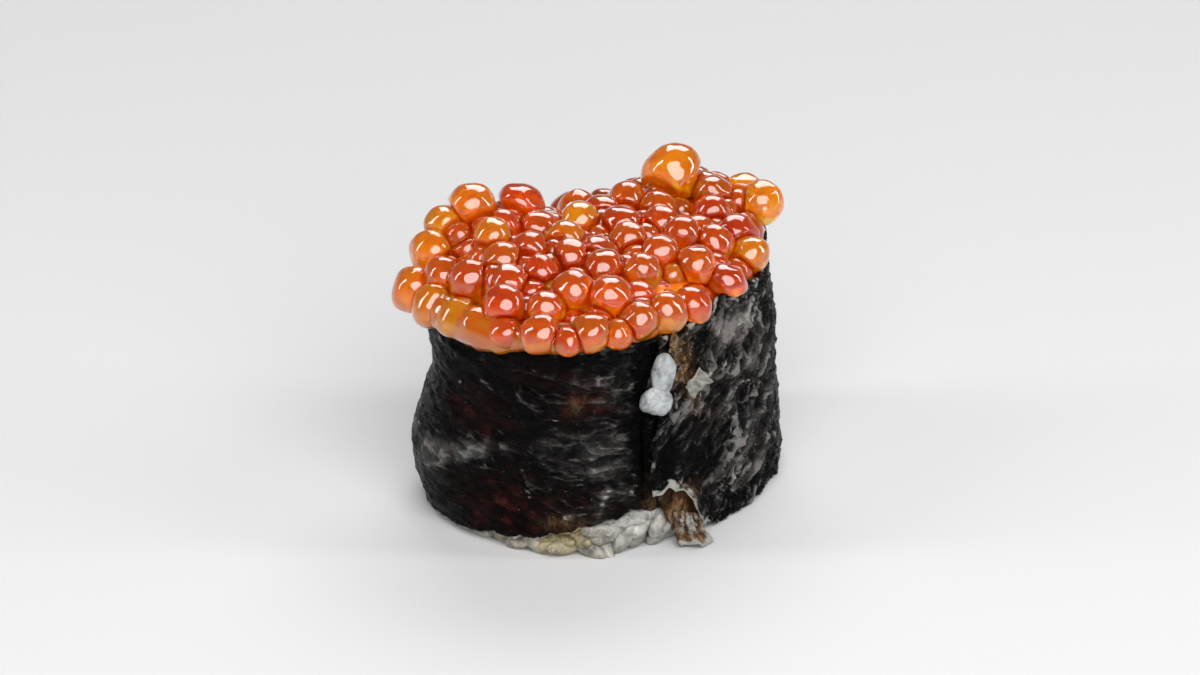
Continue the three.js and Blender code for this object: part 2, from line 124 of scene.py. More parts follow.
def wall_radius(theta, z):
    theta = np.asarray(theta, float)
    z = np.asarray(z, float)
    t = z / WRAP_HEIGHT
    a = RIM_HALF_LENGTH + FOOT_SPREAD * (1 - t)
    b = RIM_HALF_WIDTH + FOOT_SPREAD * (1 - t)
    c = np.abs(np.cos(np.radians(theta))) / a
    s = np.abs(np.sin(np.radians(theta))) / b
    r = (c ** PLAN_EXPONENT + s ** PLAN_EXPONENT) ** (-1 / PLAN_EXPONENT)
    for fa, fz, wa, wz, slope, out in FOLDS:
        d = around(theta - fa)
        r = r + out * bell(d / wa) * bell((z - fz - slope * d) / wz)
    return r


def upper_edge(theta):
    x = around(theta)
    x = np.where(x > 145, x - 360, x)
    e = along(UPPER_EDGE, np.maximum(x, -215))
    return e + 0.22 * np.sin(np.radians(7 * x + 60)) + 0.12 * np.sin(np.radians(13 * x + 110))


def polar(theta, r, z):
    t = np.radians(theta)
    return np.stack([r * np.cos(t), r * np.sin(t), z + 0 * r], -1)


def lattice(ix, iy, iz, seed):
    n = (ix.astype(np.int64) * 374761393 + iy.astype(np.int64) * 668265263
         + iz.astype(np.int64) * 1103515245 + seed * 974634777) & 0xFFFFFFFF
    n = ((n ^ (n >> 13)) * 1274126177) & 0xFFFFFFFF
    n = n ^ (n >> 16)
    return (n & 0xFFFFFF) / float(0xFFFFFF)


def value_noise(x, y, z=0.0, seed=0):
    """Smooth noise from 0 to 1 on a unit lattice."""
    x, y, z = np.broadcast_arrays(np.asarray(x, float), np.asarray(y, float), np.asarray(z, float))
    xi, yi, zi = np.floor(x), np.floor(y), np.floor(z)
    fx, fy, fz = x - xi, y - yi, z - zi
    fx, fy, fz = [f * f * f * (f * (f * 6 - 15) + 10) for f in (fx, fy, fz)]
    out = 0.0
    for dx in (0, 1):
        for dy in (0, 1):
            for dz in (0, 1):
                w = (fx if dx else 1 - fx) * (fy if dy else 1 - fy) * (fz if dz else 1 - fz)
                out = out + w * lattice(xi + dx, yi + dy, zi + dz, seed)
    return out


def fractal(x, y, z=0.0, seed=0, octaves=3, gain=0.5):
    out, amp, total = 0.0, 1.0, 0.0
    for o in range(octaves):
        k = 2.03 ** o
        out = out + amp * value_noise(x * k + 7.1 * o, y * k + 3.7 * o, np.asarray(z) * k + 1.3 * o, seed + o)
        total += amp
        amp *= gain
    return out / total


def ridged(x, y, z=0.0, seed=0, octaves=3, gain=0.55):
    out, amp, total = 0.0, 1.0, 0.0
    for o in range(octaves):
        k = 2.03 ** o
        n = value_noise(x * k + 5.3 * o, y * k + 9.1 * o, np.asarray(z) * k + 2.9 * o, seed + 31 * o)
        out = out + amp * (1 - np.abs(2 * n - 1)) ** 2
        total += amp
        amp *= gain
    return out / total


class Random:
    def __init__(self, seed):
        self.v = seed

    def __call__(self):
        self.v = (self.v * 1664525 + 1013904223) % 4294967296
        return self.v / 4294967296


def new_object(name, verts_mm, faces, material, smooth_shade=True, masks=None):
    mesh = bpy.data.meshes.new(name)
    mesh.from_pydata([tuple(v) for v in to_scene(verts_mm)], [], faces)
    mesh.update()
    if masks is not None:
        layer = mesh.attributes.new("masks", "FLOAT_COLOR", "POINT")
        data = np.ones((len(masks), 4), np.float32)
        data[:, :masks.shape[1]] = masks
        layer.data.foreach_set("color", data.ravel())
    if smooth_shade:
        mesh.polygons.foreach_set("use_smooth", [True] * len(mesh.polygons))
    mesh.materials.append(material)
    obj = bpy.data.objects.new(name, mesh)
    bpy.context.scene.collection.objects.link(obj)
    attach(obj, "root")
    return obj


# ----------------------------------------------------------------- materials
def make_material(name):
    m = bpy.data.materials.new(name)
    m.use_nodes = True
    nt = m.node_tree
    nt.nodes.clear()
    out = nt.nodes.new("ShaderNodeOutputMaterial")
    bsdf = nt.nodes.new("ShaderNodeBsdfPrincipled")
    nt.links.new(bsdf.outputs["BSDF"], out.inputs["Surface"])
    return m, nt, bsdf, out


def object_coords(nt):
    return nt.nodes.new("ShaderNodeTexCoord").outputs["Object"]


def noise_node(nt, vector, scale, detail=4.0, rough=0.55, distortion=0.0):
    n = nt.nodes.new("ShaderNodeTexNoise")
    n.inputs["Scale"].default_value = scale
    n.inputs["Detail"].default_value = detail
    n.inputs["Roughness"].default_value = rough
    n.inputs["Distortion"].default_value = distortion
    nt.links.new(vector, n.inputs["Vector"])
    return n


def ramp_node(nt, fac, stops, interpolation="LINEAR"):
    r = nt.nodes.new("ShaderNodeValToRGB")
    r.color_ramp.interpolation = interpolation
    e = r.color_ramp.elements
    while len(e) > 1:
        e.remove(e[-1])
    e[0].position, e[0].color = stops[0][0], (*stops[0][1], 1)
    for pos, col in stops[1:]:
        k = e.new(pos)
        k.color = (*col, 1)
    nt.links.new(fac, r.inputs["Fac"])
    return r


def grey(v):
    return (v, v, v)


def mix_color(nt, fac, a, b, blend="MIX"):
    m = nt.nodes.new("ShaderNodeMix")
    m.data_type = "RGBA"
    m.blend_type = blend
    for value, socket in ((fac, m.inputs[0]), (a, m.inputs[6]), (b, m.inputs[7])):
        if isinstance(value, (int, float)):
            socket.default_value = value
        elif isinstance(value, tuple):
            socket.default_value = (*value, 1)
        else:
            nt.links.new(value, socket)
    return m.outputs[2]


def bump_node(nt, height, strength, distance, normal=None):
    b = nt.nodes.new("ShaderNodeBump")
    b.inputs["Strength"].default_value = strength
    b.inputs["Distance"].default_value = distance
    nt.links.new(height, b.inputs["Height"])
    if normal is not None:
        nt.links.new(normal, b.inputs["Normal"])
    return b.outputs["Normal"]


def stretched(nt, vector, scale_xyz, rotation=(0, 0, 0)):
    m = nt.nodes.new("ShaderNodeMapping")
    m.inputs["Scale"].default_value = scale_xyz
    m.inputs["Rotation"].default_value = rotation
    nt.links.new(vector, m.inputs["Vector"])
    return m.outputs["Vector"]


def nori_material():
    """Pressed laver: near black with green and maroon in it. Ridges and specks are
    painted paler, partly dried starch and partly painted glints (masks: starch_and_glint,
    brown, maroon; alpha: painted shading)."""
    m, nt, bsdf, _ = make_material("nori_sheet")
    co = object_coords(nt)
    attribute = nt.nodes.new("ShaderNodeAttribute")
    attribute.attribute_name = "masks"
    split = nt.nodes.new("ShaderNodeSeparateColor")
    nt.links.new(attribute.outputs["Color"], split.inputs["Color"])
    starch_and_glint, brown, maroon = split.outputs[0], split.outputs[1], split.outputs[2]
    flat = stretched(nt, co, (1.0, 1.0, 1.7))
    # painted shade and sheen: black in the hollows, grey on the ridges, as the light would fall on them
    mottle = noise_node(nt, stretched(nt, co, (1, 1, 1.5)), 820, 5, 0.70, 0.5)
    relief = nt.nodes.new("ShaderNodeMath")
    relief.operation = "MULTIPLY_ADD"
    nt.links.new(attribute.outputs["Alpha"], relief.inputs[0])
    relief.inputs[1].default_value = 0.62
    half = nt.nodes.new("ShaderNodeMath")
    half.operation = "MULTIPLY"
    nt.links.new(mottle.outputs["Fac"], half.inputs[0])
    half.inputs[1].default_value = 0.62
    nt.links.new(half.outputs[0], relief.inputs[2])
    shade = ramp_node(nt, relief.outputs[0], [
        (0.24, grey(0.0003)), (0.40, grey(0.0011)), (0.52, grey(0.0070)), (0.64, grey(0.025)),
        (0.80, grey(0.064)), (1.00, grey(0.145))])
    tint = noise_node(nt, flat, 150, 5, 0.62, 0.6)
    hue = ramp_node(nt, tint.outputs["Fac"], [
        (0.30, (0.92, 1.0, 0.92)), (0.44, (1.0, 0.95, 0.91)), (0.52, (1.06, 0.92, 0.88)),
        (0.60, (0.95, 1.0, 0.93)), (0.72, (0.97, 1.0, 1.02)), (0.82, (0.90, 1.0, 1.05))])
    base = mix_color(nt, 1.0, shade.outputs["Color"], hue.outputs["Color"], "MULTIPLY")
    red = noise_node(nt, flat, 330, 4, 0.6, 0.3)
    red_r = ramp_node(nt, red.outputs["Fac"], [(0.36, (0.0012, 0.0003, 0.0003)), (0.54, (0.0068, 0.0013, 0.0010)),
                                               (0.68, (0.036, 0.008, 0.006))])
    col = mix_color(nt, maroon, base, red_r.outputs["Color"])
    tan = noise_node(nt, stretched(nt, co, (1.2, 1.2, 0.8)), 620, 4, 0.65, 0.5)
    tan_r = ramp_node(nt, tan.outputs["Fac"], [(0.34, (0.010, 0.0045, 0.0022)), (0.50, (0.075, 0.036, 0.015)),
                                               (0.66, (0.24, 0.15, 0.075))])
    col = mix_color(nt, brown, col, tan_r.outputs["Color"])
    # painted glints: light grey specks where starch_and_glint is high, partly dried starch, partly painted highlights
    fleck = noise_node(nt, stretched(nt, co, (1, 1, 1.5)), 1100, 4, 0.62, 0.35)
    total = nt.nodes.new("ShaderNodeMath")
    total.operation = "MULTIPLY_ADD"
    nt.links.new(starch_and_glint, total.inputs[0])
    total.inputs[1].default_value = 0.50
    nt.links.new(fleck.outputs["Fac"], total.inputs[2])
    fleck_r = ramp_node(nt, total.outputs[0], [(0.69, grey(0)), (0.80, grey(0.38)), (0.98, grey(1))])
    col = mix_color(nt, fleck_r.outputs["Color"], col, (0.29, 0.29, 0.26))
    nt.links.new(col, bsdf.inputs["Base Color"])
    rough_n = noise_node(nt, flat, 420, 5, 0.62)
    rough = ramp_node(nt, rough_n.outputs["Fac"], [(0.32, grey(0.10)), (0.50, grey(0.17)), (0.70, grey(0.34))])
    nt.links.new(rough.outputs["Color"], bsdf.inputs["Roughness"])
    wrinkle = noise_node(nt, stretched(nt, co, (1, 1, 2.6)), 560, 6, 0.68, 0.9)
    wrinkle_r = ramp_node(nt, wrinkle.outputs["Fac"], [(0.30, grey(0)), (0.50, grey(1)), (0.70, grey(0))])
    n1 = bump_node(nt, wrinkle_r.outputs["Color"], 0.6, 0.00030)
    grain = noise_node(nt, stretched(nt, co, (1, 1, 1.5)), 1900, 5, 0.7)
    n2 = bump_node(nt, grain.outputs["Fac"], 0.5, 0.00009, n1)
    nt.links.new(n2, bsdf.inputs["Normal"])
    bsdf.inputs["IOR"].default_value = 1.17
    bsdf.inputs["Specular IOR Level"].default_value = 0.28
    return m


def roe_material(name, top, middle, bottom, absorb, density, cloud):
    """A clear egg, painted darker red near its top and lighter near its bottom: partly
    its oil, which floats up in it, partly painted light, standing in for the light it lets
    through to its lower side (masks: height in the egg, tone of the egg, painted shade where eggs touch)."""
    m, nt, bsdf, out = make_material(name)
    co = object_coords(nt)
    attribute = nt.nodes.new("ShaderNodeAttribute")
    attribute.attribute_name = "masks"
    split = nt.nodes.new("ShaderNodeSeparateColor")
    nt.links.new(attribute.outputs["Color"], split.inputs["Color"])
    n = noise_node(nt, co, 330, 3, 0.55, 0.4)
    height = nt.nodes.new("ShaderNodeMath")
    height.operation = "MULTIPLY_ADD"
    nt.links.new(n.outputs["Fac"], height.inputs[0])
    height.inputs[1].default_value = 1.05
    nt.links.new(split.outputs[0], height.inputs[2])
    # painted light, partly oil: deeper red at the top of each egg, lighter at its bottom
    col = ramp_node(nt, height.outputs[0], [(0.54, bottom), (0.86, middle), (1.14, top)])
    tone = ramp_node(nt, split.outputs[1], [(0.0, (0.95, 0.70, 0.6)), (0.5, grey(1.0)), (1.0, (1.0, 1.25, 1.0))])
    shade = mix_color(nt, 1.0, col.outputs["Color"], tone.outputs["Color"], "MULTIPLY")
    # painted shade: the skins are painted darker round the places where two eggs touch
    shade = mix_color(nt, split.outputs[2], shade, (0.66, 0.050, 0.002))
    nt.links.new(shade, bsdf.inputs["Base Color"])
    bsdf.inputs["Roughness"].default_value = 0.05
    bsdf.inputs["IOR"].default_value = 1.37
    bsdf.inputs["Transmission Weight"].default_value = 1.0 - cloud
    bsdf.inputs["Subsurface Weight"].default_value = 1.0
    bsdf.inputs["Subsurface Radius"].default_value = (1.0, 0.25, 0.05)
    bsdf.inputs["Subsurface Scale"].default_value = 0.0009
    bsdf.inputs["Coat Weight"].default_value = 1.0
    bsdf.inputs["Coat Roughness"].default_value = 0.035
    bsdf.inputs["Coat IOR"].default_value = 1.66
    fine = noise_node(nt, co, 300, 2, 0.5)
    bump = bump_node(nt, fine.outputs["Fac"], 0.40, 0.00042)
    nt.links.new(bump, bsdf.inputs["Normal"])
    nt.links.new(bump, bsdf.inputs["Coat Normal"])
    vol = nt.nodes.new("ShaderNodeVolumeAbsorption")
    vol.inputs["Color"].default_value = (*absorb, 1)
    vol.inputs["Density"].default_value = density
    nt.links.new(vol.outputs["Volume"], out.inputs["Volume"])
    return m


def core_material():
    m, nt, bsdf, _ = make_material("roe_depth")
    co = object_coords(nt)
    n = noise_node(nt, co, 300, 4, 0.55)
    col = ramp_node(nt, n.outputs["Fac"], [(0.35, (0.66, 0.085, 0.003)), (0.65, (0.88, 0.26, 0.006))])
    nt.links.new(col.outputs["Color"], bsdf.inputs["Base Color"])
    bsdf.inputs["Roughness"].default_value = 0.25
    bsdf.inputs["Subsurface Weight"].default_value = 0.6
    bsdf.inputs["Subsurface Radius"].default_value = (1.0, 0.25, 0.05)
    bsdf.inputs["Subsurface Scale"].default_value = 0.003
    nt.links.new(bump_node(nt, n.outputs["Fac"], 0.4, 0.0006), bsdf.inputs["Normal"])
    return m


def rice_material(name, clear, warm):
    """Cooked rice, moist; masks: how much it is stained by the wrap, tone."""
    m, nt, bsdf, _ = make_material(name)
    co = object_coords(nt)
    attribute = nt.nodes.new("ShaderNodeAttribute")
    attribute.attribute_name = "masks"
    split = nt.nodes.new("ShaderNodeSeparateColor")
    nt.links.new(attribute.outputs["Color"], split.inputs["Color"])
    n = noise_node(nt, co, 640, 5, 0.64, 0.4)
    body = ramp_node(nt, n.outputs["Fac"], [(0.34, tuple(0.46 * c for c in clear)), (0.50, clear),
                                            (0.66, tuple(min(1.0, 1.40 * c) for c in clear))])
    stain = ramp_node(nt, n.outputs["Fac"], [(0.34, tuple(0.30 * c for c in warm)), (0.50, warm),
                                             (0.66, tuple(1.5 * c for c in warm))])
    col = mix_color(nt, split.outputs[0], body.outputs["Color"], stain.outputs["Color"])
    tone = ramp_node(nt, split.outputs[1], [(0.0, grey(0.72)), (1.0, grey(1.12))])
    col = mix_color(nt, 1.0, col, tone.outputs["Color"], "MULTIPLY")
    nt.links.new(col, bsdf.inputs["Base Color"])
    r = noise_node(nt, co, 900, 3, 0.5)
    rr = ramp_node(nt, r.outputs["Fac"], [(0.3, grey(0.18)), (0.7, grey(0.42))])
    nt.links.new(rr.outputs["Color"], bsdf.inputs["Roughness"])
    bsdf.inputs["Subsurface Weight"].default_value = 0.3
    bsdf.inputs["Subsurface Radius"].default_value = (1.0, 0.8, 0.55)
    bsdf.inputs["Subsurface Scale"].default_value = 0.0008
    bsdf.inputs["IOR"].default_value = 1.45
    coarse = bump_node(nt, n.outputs["Fac"], 0.7, 0.00050)
    nt.links.new(bump_node(nt, r.outputs["Fac"], 0.5, 0.00020, coarse), bsdf.inputs["Normal"])
    return m


NORI = nori_material()
RICE = rice_material("rice_grains", (0.272, 0.272, 0.258), (0.255, 0.208, 0.10))
RICE_STUCK = rice_material("rice_stuck", (0.265, 0.285, 0.298), (0.275, 0.257, 0.185))
ROE_MID = roe_material("roe_orange", (0.78, 0.150, 0.002), (0.89, 0.385, 0.003), (0.93, 0.39, 0.005),
                       (0.995, 0.84, 0.04), 130.0, 0.32)
ROE_RED = roe_material("roe_red", (0.76, 0.115, 0.001), (0.86, 0.300, 0.002), (0.92, 0.37, 0.004),
                       (0.99, 0.77, 0.03), 150.0, 0.30)
ROE_PALE = roe_material("roe_pale", (0.84, 0.28, 0.003), (0.92, 0.41, 0.004), (0.97, 0.40, 0.005),
                        (0.995, 0.82, 0.05), 130.0, 0.36)
ROE_AMBER = roe_material("roe_amber", (0.78, 0.24, 0.002), (0.97, 0.62, 0.008), (1.0, 0.54, 0.012),
                         (0.998, 0.92, 0.10), 100.0, 0.44)
CORE = core_material()


# ---------------------------------------------------------------------- nori
RUN_START, RUN_END = SEAM_ANGLE + LAP_ANGLE, SEAM_ANGLE - 360.0
COLS, ROWS, ROWS_IN = ((590, 142, 12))

run = np.linspace(RUN_START, RUN_END, COLS + 1)
_p15 = polar(run, wall_radius(run, 15.0), 15.0)
arc = np.concatenate([[0.0], np.cumsum(np.linalg.norm(np.diff(_p15, axis=0), axis=1))])


def arc_at(r):
    return np.interp(-np.asarray(r, float), -run, arc)


# Sharp creases, as lines on the unrolled sheet: run and z of both ends, how
# far they stand out, and their width.
CREASES = [
    (-203, 8.4, -190, 10.8, 0.75, 1.0), (-190, 10.8, -176, 13.6, 0.70, 0.9),
    (-175, 15.4, -168, 12.6, 0.85, 0.30), (-168, 12.6, -162, 8.2, 0.95, 0.28),
    (-162, 8.2, -150, 5.2, 0.80, 0.34), (-166, 10.6, -158, 8.8, 0.6, 0.25),
    (-171, 22.8, -160, 19.4, 0.80, 0.26), (-182, 20.8, -171, 18.8, 0.75, 0.26),
    (-166, 23.6, -158, 21.4, 0.7, 0.22), (-177, 23.0, -171, 21.6, 0.6, 0.22), (-153, 25.0, -146, 23.2, 0.7, 0.22),
    (-160, 17.4, -146, 16.4, 0.62, 0.24), (-158, 24.8, -140, 23.6, 0.55, 0.24), (-150, 22.0, -138, 21.2, 0.75, 0.22),
    (-150, 12.2, -131, 12.8, 0.50, 0.28), (-148, 9.2, -131, 8.4, 0.50, 0.28), (-152, 17.0, -136, 18.0, 0.60, 0.22),
    (-152, 14.6, -134, 14.9, 0.20, 0.35), (-157, 6.6, -140, 7.4, 0.26, 0.5),
    (-198, 25.6, -180, 23.6, 0.34, 0.5), (-160, 12.8, -150, 14.6, -0.24, 0.5),
    (-206, 15.0, -186, 17.2, -0.30, 0.6), (-170, 26.2, -150, 26.8, -0.25, 0.5),
    (-476, 16.6, -452, 20.2, 0.62, 0.6), (-452, 20.2, -430, 20.8, 0.52, 0.6),
    (-472, 20.2, -446, 26.0, 0.60, 0.6), (-472, 9.4, -446, 13.6, -0.50, 0.7),
    (-446, 13.6, -426, 14.2, -0.46, 0.7), (-464, 5.6, -432, 9.8, 0.62, 0.7),
    (-460, 24.2, -430, 28.4, 0.58, 0.6), (-452, 3.0, -424, 6.2, 0.50, 0.6),
    (-442, 21.6, -434, 29.6, 0.46, 0.5), (-478, 14.2, -456, 16.2, 0.44, 0.5),
    (-462, 12.0, -444, 16.6, 0.40, 0.45), (-430, 17.2, -414, 18.6, 0.46, 0.6),
    (-470, 22.6, -460, 27.6, -0.40, 0.5), (-448, 10.2, -428, 12.4, 0.40, 0.5),
    (-456, 27.6, -440, 22.6, 0.36, 0.4), (-444, 27.8, -430, 24.4, 0.40, 0.4)]
_rnd = Random(77)
for _ in range(64):
    _r0, _z0 = -205 - 215 * _rnd(), 2.5 + 25 * _rnd()
    _length, _tilt = 5 + 15 * _rnd(), (_rnd() - 0.5) * 1.0
    CREASES.append((_r0, _z0, _r0 - _length * 2.3, _z0 + _length * _tilt,
                    (0.20 + 0.36 * _rnd()) * (1 if _rnd() > 0.35 else -1), 0.4 + 0.45 * _rnd()))
# Round dents and swellings: run, z, half run, half height, outward.
SPOTS = [
    (-482.5, 11.2, 3.8, 2.4, -0.95), (-476.5, 11.6, 2.2, 3.0, 0.45), (-129.4, 12.8, 1.35, 6.8, -0.9),
    (-170, 6.2, 9, 2.6, -0.45), (-186, 17.6, 8, 2.2, -0.35), (-157, 21.4, 6, 1.6, 0.28),
    (-462, 18.0, 7, 2.2, -0.5), (-436, 8.0, 8, 2.4, 0.4), (-470, 5.0, 5, 1.8, 0.4),
    (-226, 20.6, 17, 2.6, -0.75), (-226, 10.2, 17, 4.2, 0.55), (-222, 26.0, 12, 1.8, 0.35)]
# Painted paler: partly where starch has dried, partly painted glints: run, z, half run, half height, strength.
STARCH_AND_GLINT = [
    (-428, 27.0, 18, 4.0, 0.85), (-446, 29.4, 18, 1.9, 0.85), (-462, 28.2, 9, 1.8, 0.6), (-424, 20.0, 9, 6.0, 0.6),
    (-430, 10.0, 13, 4.5, 0.62), (-450, 4.5, 12, 2.8, 0.55), (-468, 20.0, 5.5, 2.0, 0.85), (-464, 22.6, 5.5, 1.8, 0.7),
    (-452, 21.6, 7, 1.5, 0.5), (-440, 17.4, 7, 1.6, 0.4), (-480.5, 8.6, 5, 0.8, 1.0), (-473, 6.4, 3, 1.6, 0.7),
    (-200, 10.6, 7, 1.2, 0.35), (-186, 12.6, 9, 1.0, 0.32), (-223, 24.5, 5, 3.4, 0.75), (-226, 18.0, 5, 2.0, 0.8),
    (-228, 11.5, 4, 2.5, 0.5), (-167, 10.6, 2.2, 4.6, 0.35), (-156, 5.8, 6, 1.2, 0.55),
    (-146, 12.0, 12, 3.0, 0.30), (-140, 8.6, 9, 1.3, 0.45), (-150, 23.6, 9, 1.1, 0.35), (-160, 19.0, 8, 1.2, 0.30),
    (-208, 22.0, 6, 4.0, 0.40), (-134, 25.5, 5, 3.0, 0.35), (-212, 14.5, 4, 3.0, 0.5), (-330, 12.0, 16, 4.0, 0.40),
    (-280, 22.0, 16, 3.0, 0.42), (-385, 24.0, 16, 4.0, 0.40), (-395, 8.0, 16, 3.0, 0.35), (-250, 8.0, 14, 2.5, 0.40),
    (-355, 25.0, 14, 2.5, 0.40), (-300, 6.0, 12, 2.5, 0.38), (-352, 4.5, 12, 2.0, 0.35), (-262, 15.0, 9, 3.0, 0.35), (-310, 27.0, 9, 1.8, 0.40)]
BROWN = [(-473.5, 24.6, 3.4, 3.0, 1.0), (-470.5, 20.6, 2.2, 2.4, 0.5), (-118, 3.0, 9, 4.2, 1.25), (-108, 3.0, 9, 4.0, 1.1),
         (-478, 7.0, 8, 0.7, 0.8), (-155, 5.0, 5, 1.0, 0.5), (-151, 21.6, 2.6, 1.5, 0.28)]
MAROON = [(-174, 6.0, 15, 4.2, 1.0), (-184, 18.0, 12, 3.2, 0.8), (-151, 21.4, 5.0, 2.4, 1.0), (-160, 24.8, 12, 1.6, 0.5),
          (-144, 21.0, 6, 2.0, 0.45), (-150, 7.0, 10, 2.0, 0.45), (-300, 15.0, 30, 6.0, 0.35), (-460, 16.0, 8, 2.0, 0.3)]


# Painted sheen, where the sheet is painted greyer as if lit, and painted shade, where it is painted dark in a hollow:
# as above.
SHEEN_AND_SHADE = [(-200, 11.4, 6, 1.25, 0.50), (-192, 12.2, 6.5, 1.25, 0.62), (-183, 13.4, 6, 1.15, 0.58), (-176, 14.6, 4, 0.9, 0.45), (-160, 15.5, 16, 2.6, 0.14), (-143, 14.0, 8, 4.0, 0.22),
         (-203, 22, 8, 4, 0.22), (-139, 24.5, 9, 2.4, 0.22), (-174, 6.0, 14, 4.0, -0.45), (-186, 18.5, 12, 3.2, -0.35),
         (-165, 23.5, 14, 2.6, -0.10), (-176, 15, 17, 13, -0.16), (-482.5, 11.2, 3.6, 2.4, -0.8), (-468, 14.5, 8, 3.0, -0.15),
         (-430, 25, 16, 6, 0.26), (-436, 9, 14, 5, 0.24), (-454, 27, 10, 3, 0.26), (-131, 13, 2.2, 7, -0.8),
         (-151, 14.0, 15, 12, 0.11), (-196, 21.0, 11, 9, -0.10)]


def spots(table, r, z):
    out = np.zeros(np.broadcast(r, z).shape)
    for cr, cz, wr, wz, amp in table:
        out = out + amp * bell((r - cr) / wr) * bell((z - cz) / wz)
    return out


def crease_relief(s, z):
    out = np.zeros(np.broadcast(s, z).shape)
    wander = 0.9 * (fractal(s / 2.6, z / 2.6, 0, 401, 2) - 0.5)
    for ra, za, rb, zb, amp, width in CREASES:
        ax, bx = arc_at(ra), arc_at(rb)
        dx, dz = bx - ax, zb - za
        t = ((s - ax) * dx + (z - za) * dz) / (dx * dx + dz * dz)
        tc = np.clip(t, 0, 1)
        d = np.hypot(s - ax - tc * dx, z - za - tc * dz + wander)
        fade = smooth(tc / 0.25 + 0.15) * smooth((1 - tc) / 0.3 + 0.1)
        out = out + amp * fade * np.exp(-np.sqrt(d * d + 0.012) / width)
    return out


def lift_at(r, z):
    d = r - RUN_END
    out = 0.62 * smooth((RUN_START - 360 + 37 - r) / 31)
    out = out - 0.34 * smooth((9 - d) / 8) * smooth((z - 20.5) / 3) * (d < 40)
    on = d < 40
    out = out + on * 0.70 * smooth((13 - d) / 12) * smooth((z - 4) / 4) * smooth((24 - z) / 4)
    out = out + on * 2.4 * smooth((26 - d) / 14) * (1 - smooth(z / 8.5))
    return out


def crinkle(s, z, angle, long, short, seed, octaves=2):
    """Long sharp ridges that run at an angle on the sheet, 0 to 1. The sheet's
    own length runs to the left when it is seen from outside."""
    c, k = math.cos(math.radians(angle)), math.sin(math.radians(angle))
    warp = fractal(s / 3.4, z / 3.0, 0, seed + 9, 2) - 0.5
    return ridged((s * c + z * k) / long + 0.5 * warp, (z * c - s * k) / short + 1.5 * warp, 0, seed, octaves)


# Where the crumpled side lies smooth: run, z, half run, half height, how much.
SMOOTH_SPOTS = [(-482.5, 11.2, 5.0, 3.2, 0.95), (-473, 14.0, 9, 3.0, 0.5), (-466, 10.5, 8, 2.4, 0.55)]


